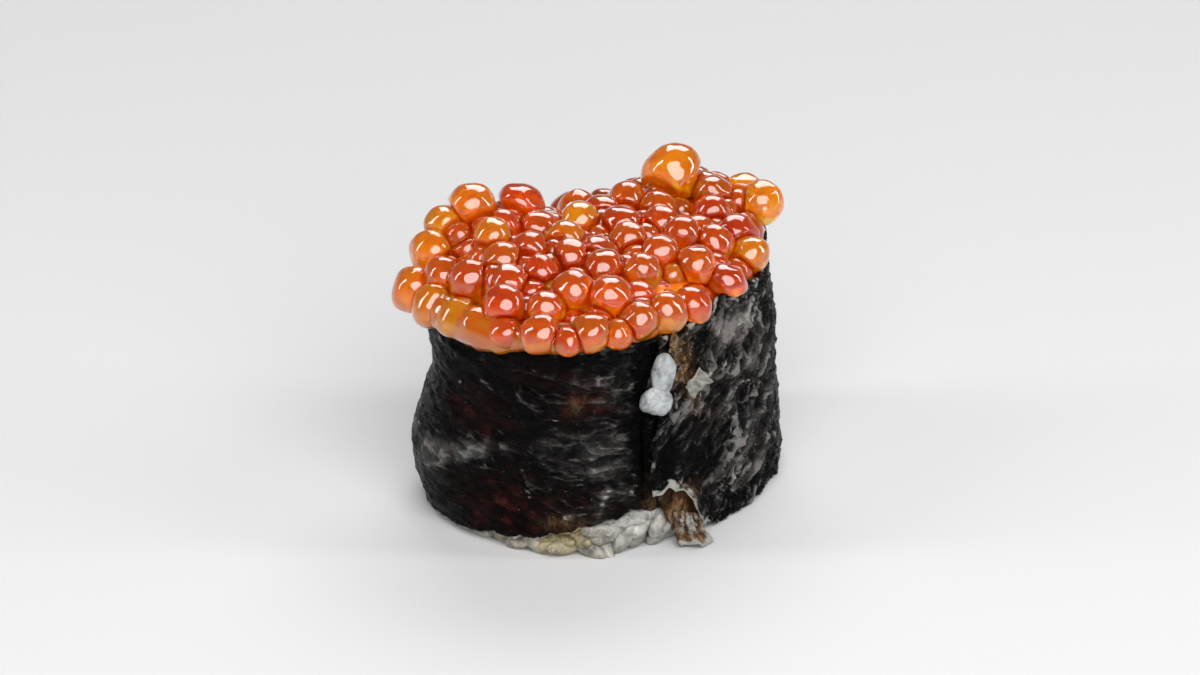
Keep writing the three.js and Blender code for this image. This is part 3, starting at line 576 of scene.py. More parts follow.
def nori_surface(r, z):
    """Radius of the outer face of the strip, and the masks for its colours."""
    s = arc_at(r)
    right = smooth((-395 - r) / 22)                     # the crumpled long side
    rear = smooth((-225 - r) / 20) * (1 - right)
    front = 1 - right - rear
    hidden = smooth((r + 126) / 6)                      # under the lap
    opening = hidden * smooth((z - 9.5) / -3)           # the part of it that shows again
    calm = 1 - np.clip(spots(SMOOTH_SPOTS, r, z), 0, 0.95)
    big = crinkle(s, z, -38, 9.0, 3.0, 11)
    small = crinkle(s, z, -34, 4.6, 1.25, 53)
    level_big = crinkle(s, z, 3, 9.0, 2.6, 111)
    level_small = crinkle(s, z, 1, 4.4, 0.95, 153)
    broad = fractal(s / 16.0, z / 9.0, 0, 91, 2) - 0.5
    coarse = right * 0.95 * (big - 0.42) * (0.35 + 0.65 * calm) + (0.34 * front + 0.55 * rear) * (level_big - 0.42)
    fine = right * 0.52 * (small - 0.42) * calm + (0.17 * front + 0.30 * rear) * (level_small - 0.42)
    d = coarse + fine + 0.7 * broad * (1 - 0.6 * front) + crease_relief(s, z) * (0.25 + 0.75 * calm)
    d = d * (1 - 0.75 * hidden)
    # striated where the inner end shows in the torn corner
    line = (s * 0.8 + z * 0.5) / 0.75
    d = d + opening * 0.55 * (ridged(line, z / 5.0, 0, 501, 2) - 0.5)
    d = d + spots(SPOTS, r, z)
    tiny = smooth((crinkle(s, z, -37, 2.3, 0.62, 71) - 0.46) / 0.26)
    level_tiny = smooth((crinkle(s, z, 4, 2.5, 0.58, 173) - 0.48) / 0.26)
    tiny = tiny * right + level_tiny * (1 - right)
    d = d + (0.20 * right + 0.10) * (tiny - 0.4) * (0.3 + 0.7 * calm) * (1 - 0.75 * hidden)
    # the crease lines are painted paler and greyer: painted highlights along them
    lines = np.clip(crease_relief(s, z), -0.4, 0.9)
    patch = smooth((fractal(s / 1.9, z / 1.3, 0, 611, 2) - 0.42) / 0.20)
    small = small * (0.62 + 0.38 * patch)
    level_small = level_small * (0.66 + 0.34 * patch)
    zone = 0.55 + 0.45 * smooth((-412 - r) / 14) * right
    ridge = right * zone * smooth((small - 0.46) / 0.30) * (0.45 + 0.55 * smooth((big - 0.3) / 0.4)) * calm + \
        (1 - right) * (front + 0.85 * rear) * smooth((level_small - 0.50) / 0.32)
    ridge = ridge * (0.35 + 1.0 * tiny)
    # starch spots, partly painted glints, brightened on the ridges and crease lines as painted highlights
    starch_and_glint = np.clip(spots(STARCH_AND_GLINT, r, z) * (0.22 + 0.95 * ridge) + 0.16 * ridge + 0.85 * np.clip(lines - 0.40, 0, 0.6) * (0.4 + 0.8 * patch), 0, 1.2)
    brown = np.clip(spots(BROWN, r, z), 0, 1) * np.where(r > -126, opening, 1)
    maroon = np.clip(spots(MAROON, r, z), 0, 1)
    # painted shading: grey sheen painted on the ridges and black left in the hollows, with the painted sheen and shade
    # spots and the crease lines added
    height = right * zone * (0.42 * smooth((big - 0.40) / 0.40) + 0.85 * smooth((small - 0.47) / 0.26)) * (0.3 + 0.7 * calm) + \
        (1 - right) * (front + 0.95 * rear) * (0.30 * smooth((level_big - 0.40) / 0.42) + 0.52 * smooth((level_small - 0.50) / 0.28))
    striae = crinkle(s, z, -31, 15.0, 0.85, 213)
    plain = right * smooth((-436 - r) / 12)
    height = height + 0.07 * right + plain * 0.50 * smooth((striae - 0.50) / 0.24) * (0.4 + 0.6 * calm)
    height = height * (0.72 + 0.46 * tiny) + 0.10 * tiny
    height = np.clip(height + spots(SHEEN_AND_SHADE, r, z) + 0.80 * lines, 0, 1.3)
    return wall_radius(r, z) + lift_at(r, z) + d, starch_and_glint, brown, maroon, height


def edge_lo(r):
    s = arc_at(r)
    e = along(LOWER_EDGE, r)
    rough = 0.5 * (fractal(s / 2.2, 0.3, 0, 7, 3) - 0.5) + 0.25 * (value_noise(s / 0.7, 1.7, 0, 8) - 0.5)
    e = e - 0.55 * smooth((-206 - r) / 14) * smooth((r + 464) / 6)      # down to the board where it isn't lifted
    return np.maximum(e + rough * np.clip(e - 0.1, 0.35, 1.4), 0.12)


def edge_hi(r):
    s = arc_at(r)
    jag = 1 + 1.2 * smooth((-395 - r) / 20)
    rough = 0.8 * (fractal(s / 4.0, 0.6, 0, 17, 3) - 0.5) + 0.3 * jag * (value_noise(s / 0.9, 2.2, 0, 18) - 0.5)
    return upper_edge(r) + rough


def rim_wave(r, z, hi):
    """The rim waves in and out, most along the crumpled side."""
    wave = (fractal(arc_at(r) / 5.0, 0.2, 0, 29, 2) - 0.5) * 1.2 * smooth((z - hi + 5) / 5)
    return wave * (1 - smooth((r + 126) / 6)) * (0.6 + 0.7 * smooth((-395 - r) / 20))


def wrap_face(theta, z):
    """Radius of the outer face of the innermost layer of the wrap."""
    t = around(theta)
    r = np.where(t <= RUN_START, t, t - 360.0)
    return nori_surface(r, z)[0] + rim_wave(r, z, edge_hi(r))


def build_nori():
    lo, hi = edge_lo(run), edge_hi(run)
    v = np.linspace(0, 1, ROWS + 1)
    z = lo[:, None] + (hi - lo)[:, None] * v[None]
    rr = np.repeat(run[:, None], ROWS + 1, 1)
    end = smooth((9 - (rr - RUN_END)) / 9)
    rr = rr + end * (7.5 * (fractal(z / 4.6, 0.7, 0, 37, 3) - 0.47) + 1.0 * smooth((z - 20) / 5))
    surf, starch_and_glint, brown, maroon, height = nori_surface(rr, z)
    # the cut edges are painted paler: partly their own dry edge, partly painted highlights where the rim and the foot
    # catch the light
    s = arc_at(rr)
    over = smooth((-395 - rr) / 20)
    surf = surf + rim_wave(rr, z, hi[:, None])
    broken = smooth((fractal(s / 1.6, 3.1, 0, 39, 2) - 0.44) / 0.12)
    starch_and_glint = starch_and_glint + (0.35 + 0.65 * over) * broken * smooth((z - hi[:, None] + 0.7) / 0.7)
    torn = smooth((-461 - rr) / 4)
    left = smooth((rr + 212) / 12) * smooth((-150 - rr) / 12)
    starch_and_glint = starch_and_glint + (0.15 + 0.65 * left + 1.0 * torn) * smooth((lo[:, None] + 0.50 - z) / 0.45)
    starch_and_glint = starch_and_glint + 1.1 * torn * smooth((lo[:, None] + 1.9 - z) / 1.3) * smooth((fractal(s / 1.5, z / 0.8, 0, 47, 2) - 0.30) / 0.3)
    masks = np.stack([np.clip(starch_and_glint, 0, 1.3), brown, maroon, height], -1)
    outer = polar(rr, surf, z)
    vi = np.linspace(0, 1, ROWS_IN + 1)
    pick = np.round(vi * ROWS).astype(int)
    inner = polar(rr[:, pick], surf[:, pick] - SHEET_SHOWN, z[:, pick])
    no, ni = ROWS + 1, ROWS_IN + 1
    verts = np.concatenate([outer.reshape(-1, 3), inner.reshape(-1, 3)])
    masks = np.concatenate([masks.reshape(-1, 4), masks[:, pick].reshape(-1, 4)])
    base = (COLS + 1) * no

    def o(i, j):
        return i * no + j

    def n(i, j):
        return base + i * ni + j
    faces = []
    for i in range(COLS):
        for j in range(ROWS):
            faces.append((o(i, j), o(i, j + 1), o(i + 1, j + 1), o(i + 1, j)))
        for j in range(ROWS_IN):
            faces.append((n(i, j), n(i + 1, j), n(i + 1, j + 1), n(i, j + 1)))
        faces.append((o(i, 0), o(i + 1, 0), n(i + 1, 0), n(i, 0)))
        faces.append((o(i, ROWS), n(i, ROWS_IN), n(i + 1, ROWS_IN), o(i + 1, ROWS)))
    for i, flip in ((0, False), (COLS, True)):
        for k in range(ROWS_IN):
            a, b = pick[k], pick[k + 1]
            loop = [n(i, k)] + [n(i, k + 1)] + [o(i, j) for j in range(b, a - 1, -1)]
            faces.append(tuple(loop[::-1] if flip else loop))
    obj = new_object("nori_wrap", verts, faces, NORI, masks=masks)
    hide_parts("nori")
    return obj


def sheet_piece(name, top, masks, thick=0.28):
    """A scrap of nori from a grid of points, closed with a thickness."""
    nu, nv = top.shape[0], top.shape[1]
    du = np.gradient(top, axis=0)
    dv = np.gradient(top, axis=1)
    nrm = np.cross(du, dv)
    nrm /= np.linalg.norm(nrm, axis=2)[..., None] + 1e-9
    low = top - nrm * thick
    verts = np.concatenate([top.reshape(-1, 3), low.reshape(-1, 3)])
    verts[:, 2] = np.maximum(verts[:, 2], 0.05)
    k = nu * nv
    faces = []
    for i in range(nu - 1):
        for j in range(nv - 1):
            a = i * nv + j
            faces.append((a, a + nv, a + nv + 1, a + 1))
            faces.append((k + a, k + a + 1, k + a + nv + 1, k + a + nv))
    ring = [j for j in range(nv)] + [i * nv + nv - 1 for i in range(1, nu)] + \
        [(nu - 1) * nv + j for j in range(nv - 2, -1, -1)] + [i * nv for i in range(nu - 2, 0, -1)]
    for a, b in zip(ring, ring[1:] + ring[:1]):
        faces.append((a, b, k + b, k + a))
    return new_object(name, verts, faces, NORI, masks=np.concatenate([masks, masks]))


def build_scraps():
    """The crumpled end of the inner layer that sticks out of the torn corner,
    and the frayed bits beside the stuck grains."""
    nu, nv = 44, 30
    u, v = np.meshgrid(np.linspace(0, 1, nu), np.linspace(0, 1, nv), indexing="ij")
    theta = -119.5 + 10.5 * u + 1.8 * (fractal(v * 3, u * 2, 0, 611, 2) - 0.5)
    fold = ridged(u * 5.5 + 0.9 * v, v * 1.2, 0, 612, 2) - 0.5
    out = 0.35 + (2.9 + 0.8 * np.sin(u * 3.1)) * v ** 1.25 * (0.45 + 0.55 * smooth(u / 0.5)) + 0.75 * fold
    z = 0.3 + (4.6 - 2.2 * u) * (1 - v) ** 1.15 + 0.9 * v * (fractal(u * 5, v * 4, 0, 613, 2) - 0.4) + 0.35 * fold
    top = polar(theta, wall_radius(theta, np.maximum(z, 0)) + out, z)
    # painted glints, partly dry edge: the flap is painted paler at its outer edge and along the ridges of its folds
    masks = np.stack([0.25 + 0.9 * smooth((v - 0.82) / 0.15) + 0.5 * smooth(fold / 0.3),
                      np.full(u.shape, 0.95), np.zeros(u.shape)], -1).reshape(-1, 3)
    sheet_piece("nori_torn_flap", top, masks)
    rnd = Random(5150)
    for k, (tc, zc, w, h, turn) in enumerate([(-118.2, 26.2, 0.9, 1.6, 20), (-116.9, 23.6, 0.75, 1.3, -15),
                                              (-118.9, 28.2, 0.8, 1.0, 35), (-109.5, 21.4, 1.9, 1.2, 30)]):
        nu, nv = 16, 20
        u, v = np.meshgrid(np.linspace(-1, 1, nu), np.linspace(-1, 1, nv), indexing="ij")
        a = math.radians(turn)
        edge = 1 - 0.25 * value_noise(u * 2.2 + 7 * k, v * 2.2, 0, 700 + k)
        x, y = u * w * edge, v * h * edge
        xs, ys = x * math.cos(a) - y * math.sin(a), x * math.sin(a) + y * math.cos(a)
        theta = tc + np.degrees(xs / 21.0)
        zz = zc + ys
        curl = 0.95 + 0.75 * (u * (1 if rnd() > 0.5 else -1) + v * 0.4) ** 2 * 0.6 + 0.5 * (fractal(u * 2, v * 2 + k, 0, 720, 2) - 0.4)
        top = polar(theta, nori_surface(theta - 360, zz)[0] - 0.55 + curl, zz)
        tone = np.full(u.shape, 0.95 if k < 3 else 0.25)
        masks = np.stack([np.full(u.shape, 0.30 if k < 3 else 0.80), tone, np.zeros(u.shape)], -1).reshape(-1, 3)
        sheet_piece("nori_frayed_%d" % (k + 1), top, masks, 0.2)


build_nori()
build_scraps()


# ----------------------------------------------------------------------- roe
def oval(x, y, a=RIM_HALF_LENGTH, b=RIM_HALF_WIDTH):
    return (abs(x / a) ** PLAN_EXPONENT + abs(y / b) ** PLAN_EXPONENT) ** (1 / PLAN_EXPONENT)


def hump(x, y, h):
    dx, dy = x - h[0], y - h[1]
    return h[3] * math.exp(-(dx * dx + dy * dy) / (2 * h[2] * h[2]))


def spill(x, y):
    e = 0.0
    for h in SPILLS:
        e += hump(x, y, h)
    return e


def centre_height(x, y):
    r = min(oval(x, y) / (1 + spill(x, y)), 1.0)
    z = MOUND_EDGE + MOUND_RISE * (1 - r ** 2.8) ** 0.62
    for h in HUMPS:
        z += hump(x, y, h)
    return z


def smooth1(t):
    t = min(1.0, max(0.0, t))
    return t * t * (3 - 2 * t)


def rim_height(theta):
    """upper_edge for one plain number."""
    x = math.fmod(theta, 360)
    x = x - 360 if x > 180 else (x + 360 if x < -180 else x)
    if x > 145:
        x -= 360
    e = UPPER_EDGE[0][1]
    for (xa, ya), (xb, yb) in zip(UPPER_EDGE, UPPER_EDGE[1:]):
        if xa < x <= xb:
            e = ya + (yb - ya) * smooth1((x - xa) / (xb - xa))
            break
    return e + 0.22 * math.sin(math.radians(7 * x + 60)) + 0.12 * math.sin(math.radians(13 * x + 110))


def held_in(theta):
    """1 where the heap stays inside the rim, at the front right, 0 elsewhere."""
    return smooth1((theta + 158) / 16) * smooth1((-34 - theta) / 14)


def pack_roe():
    rnd, eggs, rounds = Random(ROE_SEED), [], ROE_ROUNDS
    for p in PLACED:
        eggs.append([p[0], p[1], p[2], p[3], 0.0, 1])
    while len(eggs) < ROE_COUNT + len(PLACED):
        x = (2 * rnd() - 1) * RIM_HALF_LENGTH
        y = (2 * rnd() - 1) * RIM_HALF_WIDTH
        u = rnd()
        r = ROE_RADIUS * (0.86 + 0.28 * rnd())
        j = rnd()
        if oval(x, y) > 0.97:
            continue
        top = centre_height(x, y)
        eggs.append([x, y, RICE_TOP + r + u * (top - RICE_TOP - r), r, j * j * 1.1 - 0.3, 0])
    n = len(eggs)
    near = []
    for it in range(rounds):
        if it % 8 == 0:
            near = []
            for i in range(n):
                a, row = eggs[i], []
                for k in range(i + 1, n):
                    b = eggs[k]
                    dx, dy, dz = a[0] - b[0], a[1] - b[1], a[2] - b[2]
                    if dx * dx + dy * dy + dz * dz < 72:
                        row.append(k)
                near.append(row)
        soft = 0.93 + 0.04 * it / rounds
        for i in range(n):
            a = eggs[i]
            for k in near[i]:
                b = eggs[k]
                dx, dy, dz = b[0] - a[0], b[1] - a[1], b[2] - a[2]
                want = (a[3] + b[3]) * soft
                d2 = dx * dx + dy * dy + dz * dz
                if d2 < want * want and d2 > 1e-9:
                    wa, wb = (0.0 if a[5] else 1.0), (0.0 if b[5] else 1.0)
                    if wa + wb == 0:
                        continue
                    d = math.sqrt(d2)
                    m = (want - d) / d * (1.0 if wa + wb == 1 else 0.5)
                    a[0] -= dx * m * wa; a[1] -= dy * m * wa; a[2] -= dz * m * wa
                    b[0] += dx * m * wb; b[1] += dy * m * wb; b[2] += dz * m * wb
        for a in eggs:
            if a[5]:
                continue
            a[2] -= 0.02
            top = centre_height(a[0], a[1]) + a[4]
            if a[2] > top:
                a[2] = top + (a[2] - top) * 0.3
            if a[2] < RICE_TOP + a[3] * 0.95:
                a[2] = RICE_TOP + a[3] * 0.95
            th = math.atan2(a[1], a[0]) * 180 / math.pi
            over = min(1.0, max(0.0, (a[2] - rim_height(th) - 0.2) / 1.2))
            e = 1 + over * spill(a[0], a[1])
            inset = (a[3] * 0.97 + 0.9) * (1 - over) + over * (2.2 * held_in(th) - 0.2)
            q = oval(a[0], a[1], (RIM_HALF_LENGTH - inset) * e, (RIM_HALF_WIDTH - inset) * e)
            if q > 1:
                a[0] /= q
                a[1] /= q
    return eggs


def sphere_mesh(subdivisions):
    bm = bmesh.new()
    bmesh.ops.create_icosphere(bm, subdivisions=subdivisions, radius=1.0)
    v = np.array([p.co[:] for p in bm.verts])
    v /= np.linalg.norm(v, axis=1)[:, None]
    f = np.array([[q.index for q in t.verts] for t in bm.faces])
    bm.free()
    return v, f


BALLS = {k: sphere_mesh(k) for k in (2, 3, 4, 5)}


def egg_surface(index, eggs, centres, radii, level):
    """One egg: pressed flat where it lies against the next one or the wrap."""
    n, f = BALLS[level]
    c, r = centres[index], radii[index]
    turn = Random(1000 + index)
    a, b = turn() * 6.283, turn() * 6.283
    rot = np.array([[math.cos(a), -math.sin(a), 0], [math.sin(a), math.cos(a), 0], [0, 0, 1]]) @ \
        np.array([[1, 0, 0], [0, math.cos(b), -math.sin(b)], [0, math.sin(b), math.cos(b)]])
    d = n @ rot.T
    # not quite round
    lump = fractal(d[:, 0] * 1.1 + 9 * index, d[:, 1] * 1.1, d[:, 2] * 1.1, 211, 2) - 0.5
    fat = np.array([0.93 + 0.15 * turn(), 0.93 + 0.15 * turn(), 0.90 + 0.14 * turn()])
    oblong = 1.0 / np.sqrt(((n / fat) ** 2).sum(1))
    rad = 1.14 * r * oblong * (1.0 + 0.20 * lump)
    gap = centres - c
    dist = np.linalg.norm(gap, axis=1)
    contact_shade = np.zeros(len(d))
    for k in np.nonzero((dist > 1e-6) & (dist < (radii + r) * 1.20))[0]:
        u = gap[k] / dist[k]
        plane = dist[k] * r / (r + radii[k]) - 0.02
        cosv = d @ u
        cut = np.where(cosv > 0.2, plane / np.maximum(cosv, 0.2), 99.0)
        # painted shade: how near each point lies to where this egg touches the next
        contact_shade = np.maximum(contact_shade, 1 - smooth((cut - rad + 0.05) / 0.34))
        h = np.clip(0.5 + 0.5 * (cut - rad) / 0.30, 0, 1)     # rounded edge to each flat
        rad = cut * (1 - h) + rad * h - 0.30 * h * (1 - h) * 0.5
    p = c + d * rad[:, None]
    # inside the wrap, and dented where it hangs over the edge of it
    th = np.degrees(np.arctan2(p[:, 1], p[:, 0]))
    q = np.hypot(p[:, 0], p[:, 1])
    wall = wall_radius(th, p[:, 2])
    rim = upper_edge(th)
    below = (p[:, 2] < rim + 0.15)
    inside = wall - SHEET_SHOWN - 0.25
    close = below & (q > wall - 3.0)
    if close.any():
        inside[close] = np.minimum(inside[close], wrap_face(th[close], p[close, 2]) - SHEET_SHOWN - 0.22)
    c_wall = float(wall_radius(math.degrees(math.atan2(c[1], c[0])), c[2]))
    beyond = (math.hypot(c[0], c[1]) - c_wall) / r
    if beyond < -0.6 or c[2] < 28.6:
        push = below & (q > inside)
        scale = np.where(push, inside / q, 1.0)
        p[:, 0] *= scale
        p[:, 1] *= scale
    else:
        straddle = below & (q > inside) & (q < wall + 0.9)
        p[:, 2] = np.where(straddle, rim + 0.15, p[:, 2])
        # an egg that rests on the rim sags over it only a little
        hang = 0.6 + 2.4 * min(1.0, max(0.0, beyond + 0.45))
        low = p[:, 2] < rim + 0.15
        p[:, 2] = np.where(low, rim + 0.15 - hang * (1 - np.exp((p[:, 2] - rim - 0.15) / hang)), p[:, 2])
    return p, f, contact_shade


def tuck_in(eggs):
    """Smaller eggs in the hollows between the ones that lie on top."""
    c = np.array([e[:3] for e in eggs])
    r = np.array([e[3] for e in eggs]) * 1.10
    step = 0.45
    gx, gy = np.meshgrid(np.arange(-25, 25.01, step), np.arange(-20, 20.01, step), indexing="ij")
    top = np.full(gx.shape, 22.0)
    for (x, y, z), q in zip(c, r):
        d2 = (gx - x) ** 2 + (gy - y) ** 2
        top = np.maximum(top, np.where(d2 < q * q, z + np.sqrt(np.maximum(q * q - d2, 0)), 22.0))
    mean, count = np.zeros(top.shape), 0
    reach = int(3.0 / step)
    for dx in range(-reach, reach + 1):
        for dy in range(-reach, reach + 1):
            if dx * dx + dy * dy <= reach * reach:
                mean += np.roll(np.roll(top, dx, 0), dy, 1)
                count += 1
    mean /= count
    hollow = mean - top
    hollow[oval(gx, gy) > 0.93] = 0
    rnd, found = Random(4242), []
    for k in np.argsort(-hollow.ravel()):
        depth = hollow.ravel()[k]
        if depth < 0.70 or len(found) >= 66:
            break
        x, y = gx.ravel()[k], gy.ravel()[k]
        if all((x - a) ** 2 + (y - b) ** 2 > 3.0 ** 2 for a, b in found):
            found.append((x, y))
            q = 1.55 + 0.55 * rnd()
            eggs.append([x, y, mean.ravel()[k] - 0.25 - 0.55 * rnd() - q, q, 0.0, 2])
    return eggs


def build_roe():
    eggs = tuck_in(pack_roe())
    centres = np.array([e[:3] for e in eggs])
    radii = np.array([e[3] for e in eggs])
    groups = {k: ([], [], [], 0) for k in ("roe_orange", "roe_red", "roe_pale", "roe_amber")}
    pick = Random(99)
    for i, e in enumerate(eggs):
        x, y, z, r = e[:4]
        t = pick()
        depth = centre_height(x, y) - z
        edge = oval(x, y)
        top = depth < 1.5 or (edge > 0.84 and z > 28.0) or e[5]
        if depth > 4.6 and not (edge > 0.80 and z > 26.5):
            continue
        if i < 3:
            kind = "roe_amber"
        elif i in (3, 5, 6, 7, 8, 9, 40) or t > 0.90:
            kind = "roe_pale"
        elif t < 0.22:
            kind = "roe_red"
        else:
            kind = "roe_orange"
        level = (5 if i < 3 else 4 if e[5] < 2 else 3) if top else 3
        p, f, contact_shade = egg_surface(i, eggs, centres, radii, level)
        vs, fs, ms, count = groups[kind]
        vs.append(p)
        fs.append(f + count)
        low, high = p[:, 2].min(), p[:, 2].max()
        tone = pick() if i > 2 else 0.62
        shadow = (0.8 if i > 2 else 0.6) * contact_shade
        if i > 2 and edge > 0.72:
            # the eggs along the rim are lit from one side only, and look redder
            th = np.degrees(np.arctan2(p[:, 1], p[:, 0]))
            shadow = shadow + 0.36 * smooth((upper_edge(th) + 3.4 - p[:, 2]) / 3.8)
        # first mask: height in the egg, which the material paints darker at the top and lighter at the bottom
        ms.append(np.stack([(p[:, 2] - low) / (high - low), np.full(len(p), tone), np.minimum(shadow, 1.0)], -1))
        groups[kind] = (vs, fs, ms, count + len(p))
    mats = {"roe_orange": ROE_MID, "roe_red": ROE_RED, "roe_pale": ROE_PALE, "roe_amber": ROE_AMBER}
    made = []
    for kind, (vs, fs, ms, _) in groups.items():
        faces = [tuple(int(k) for k in t) for t in np.concatenate(fs)]
        made.append(new_object(kind, np.concatenate(vs), faces, mats[kind], masks=np.concatenate(ms)))
    # what lies deeper, as one body under the eggs
    n, m = 128, 40
    th = np.linspace(0, 360, n, endpoint=False)
    rings = []
    for z in (RICE_TOP + 0.4, 23.5, 25.5, 27.0):
        r = np.minimum(wall_radius(th, z) - 1.1, wrap_face(th, np.full(n, z)) - 0.6)
        rings.append(polar(th, r - (1.0 if z < 22.5 else 0), np.full(n, z)))
    for k in range(m):
        f = math.cos(math.pi / 2 * (k + 1) / (m + 1)) ** 0.8
        r = (wall_radius(th, 27.0) - 1.3) * f
        p = polar(th, r, np.zeros(n))
        for q in p:
            q[2] = max(centre_height(q[0], q[1]) - 1.5 - 2.0 * smooth1((f - 0.80) / 0.18), 24.5)
        p[:, 2] += 1.0 * (value_noise(p[:, 0] / 2.0, p[:, 1] / 2.0, 0, 5) - 0.5)
        rings.append(p)
    verts = np.concatenate(rings)
    faces = []
    for i in range(len(rings) - 1):
        for j in range(n):
            a, b = i * n + j, i * n + (j + 1) % n
            faces.append((a, b, b + n, a + n))
    faces.append(tuple(range(n - 1, -1, -1)))
    last = (len(rings) - 1) * n
    faces.append(tuple(range(last, last + n)))
    core = new_object("roe_depth", verts, faces, CORE)
    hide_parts("roe")
    return made


def build_film():
    """Oil and burst eggs that have run together along the rim at the front left."""
    nu, nv = 200, 20
    u, v = np.meshgrid(np.linspace(-224, -112, nu), np.linspace(0, 2 * math.pi, nv, endpoint=False), indexing="ij")
    rim = upper_edge(u)
    ends = smooth((u + 224) / 12) * smooth((-112 - u) / 14)
    lobe = 1.25 * bell((u + 200) / 13) + 1.35 * bell((u + 181) / 10) + 0.65 * bell((u + 162) / 9)
    lump = fractal(u / 7.0, 0.4, 0, 811, 2) - 0.5
    wide = (1.25 + 0.95 * lobe + 0.8 * lump) * ends + 0.12
    tall = (1.15 + 1.00 * lobe + 0.6 * lump) * ends + 0.12
    r_c = wall_radius(u, rim) - 0.75 + 0.42 * lobe - 0.25 * smooth((u + 150) / 12)
    z_c = rim + 0.55 + 0.70 * lobe + 0.35 * (fractal(u / 5.0, 2.4, 0, 812, 2) - 0.5)
    swell = 1 + 0.22 * (fractal(u / 3.4, np.cos(v) * 1.3 + 5, np.sin(v) * 1.3, 813, 2) - 0.5)
    top = polar(u, r_c + wide * np.cos(v) * swell, z_c + tall * np.sin(v) * swell)
    verts = np.concatenate([top.reshape(-1, 3), [top[0].mean(0)], [top[-1].mean(0)]])
    first, last = nu * nv, nu * nv + 1
    faces = []
    for i in range(nu - 1):
        for j in range(nv):
            a, b = i * nv + j, i * nv + (j + 1) % nv
            faces.append((a, a + nv, b + nv, b))
    for j in range(nv):
        k = (j + 1) % nv
        faces.append((j, k, first))
        faces.append(((nu - 1) * nv + k, (nu - 1) * nv + j, last))
    # painted light and shade, as on the eggs: darker at the top of the film, lighter lower down, and painted shade
    # along its underside where it lies on the rim; redder towards the right
    red = smooth((u + 160) / 20)
    masks = np.stack([0.46 + 0.14 * np.sin(v) + 0.22 * red, 0.42 - 0.2 * red, 0.24 + 0.25 * bell((v - 1.5 * math.pi) / 0.5)], -1).reshape(-1, 3)
    masks = np.concatenate([masks, masks[:1], masks[-1:]])
    new_object("roe_film", verts, faces, ROE_PALE, masks=np.clip(masks, 0, 1))


build_roe()
build_film()


# ---------------------------------------------------------------------- rice
def grain_mesh(length, width, depth, seed, nu=14, nv=9, rough=0.22, blunt=0.82, narrowing=0.16):
    """A cooked short grain: blunt ellipsoid, one flatter side, small dent at the germ."""
    rnd = Random(seed)
    bend = (rnd() - 0.5) * 0.22
    fat = 0.94 + 0.16 * rnd()
    verts = [(0, -0.5, 0)]
    for j in range(1, nv):
        v = math.pi * j / nv
        y = -0.5 * math.cos(v)
        w = math.sin(v) ** blunt
        for i in range(nu):
            u = 2 * math.pi * i / nu
            verts.append((0.5 * w * math.cos(u), y, 0.5 * w * math.sin(u)))
    verts.append((0, 0.5, 0))
    p = np.array(verts)
    lump = fractal(p[:, 0] * 3.3 + seed, p[:, 1] * 3.0, p[:, 2] * 3.3, 61, 2) - 0.5
    taper = 1 - narrowing * p[:, 1] * 2
    p[:, 0] = p[:, 0] * taper * (1 + 1.3 * rough * lump) + bend * (p[:, 1] ** 2 - 0.1)
    p[:, 2] = p[:, 2] * taper * (1 + rough * lump)
    germ = bell((p[:, 1] - 0.43) / 0.12) * bell((p[:, 0] - 0.22) / 0.2)
    p[:, 0] -= 0.10 * germ
    p *= np.array([width * fat, length, depth * fat])
    faces = []
    for i in range(nu):
        faces.append((0, 1 + i, 1 + (i + 1) % nu))
        for j in range(nv - 2):
            a = 1 + j * nu + i
            b = 1 + j * nu + (i + 1) % nu
            faces.append((a, a + nu, b + nu, b))
        a = 1 + (nv - 2) * nu
        faces.append((a + i, len(p) - 1, a + (i + 1) % nu))
    return p, faces


def place_grain(p, centre, axis, normal):
    axis = np.asarray(axis, float) / np.linalg.norm(axis)
    normal = np.asarray(normal, float)
    normal = normal - axis * (normal @ axis)
    normal /= np.linalg.norm(normal)
    side = np.cross(axis, normal)
    return np.asarray(centre) + p[:, :1] * side + p[:, 1:2] * axis + p[:, 2:3] * normal


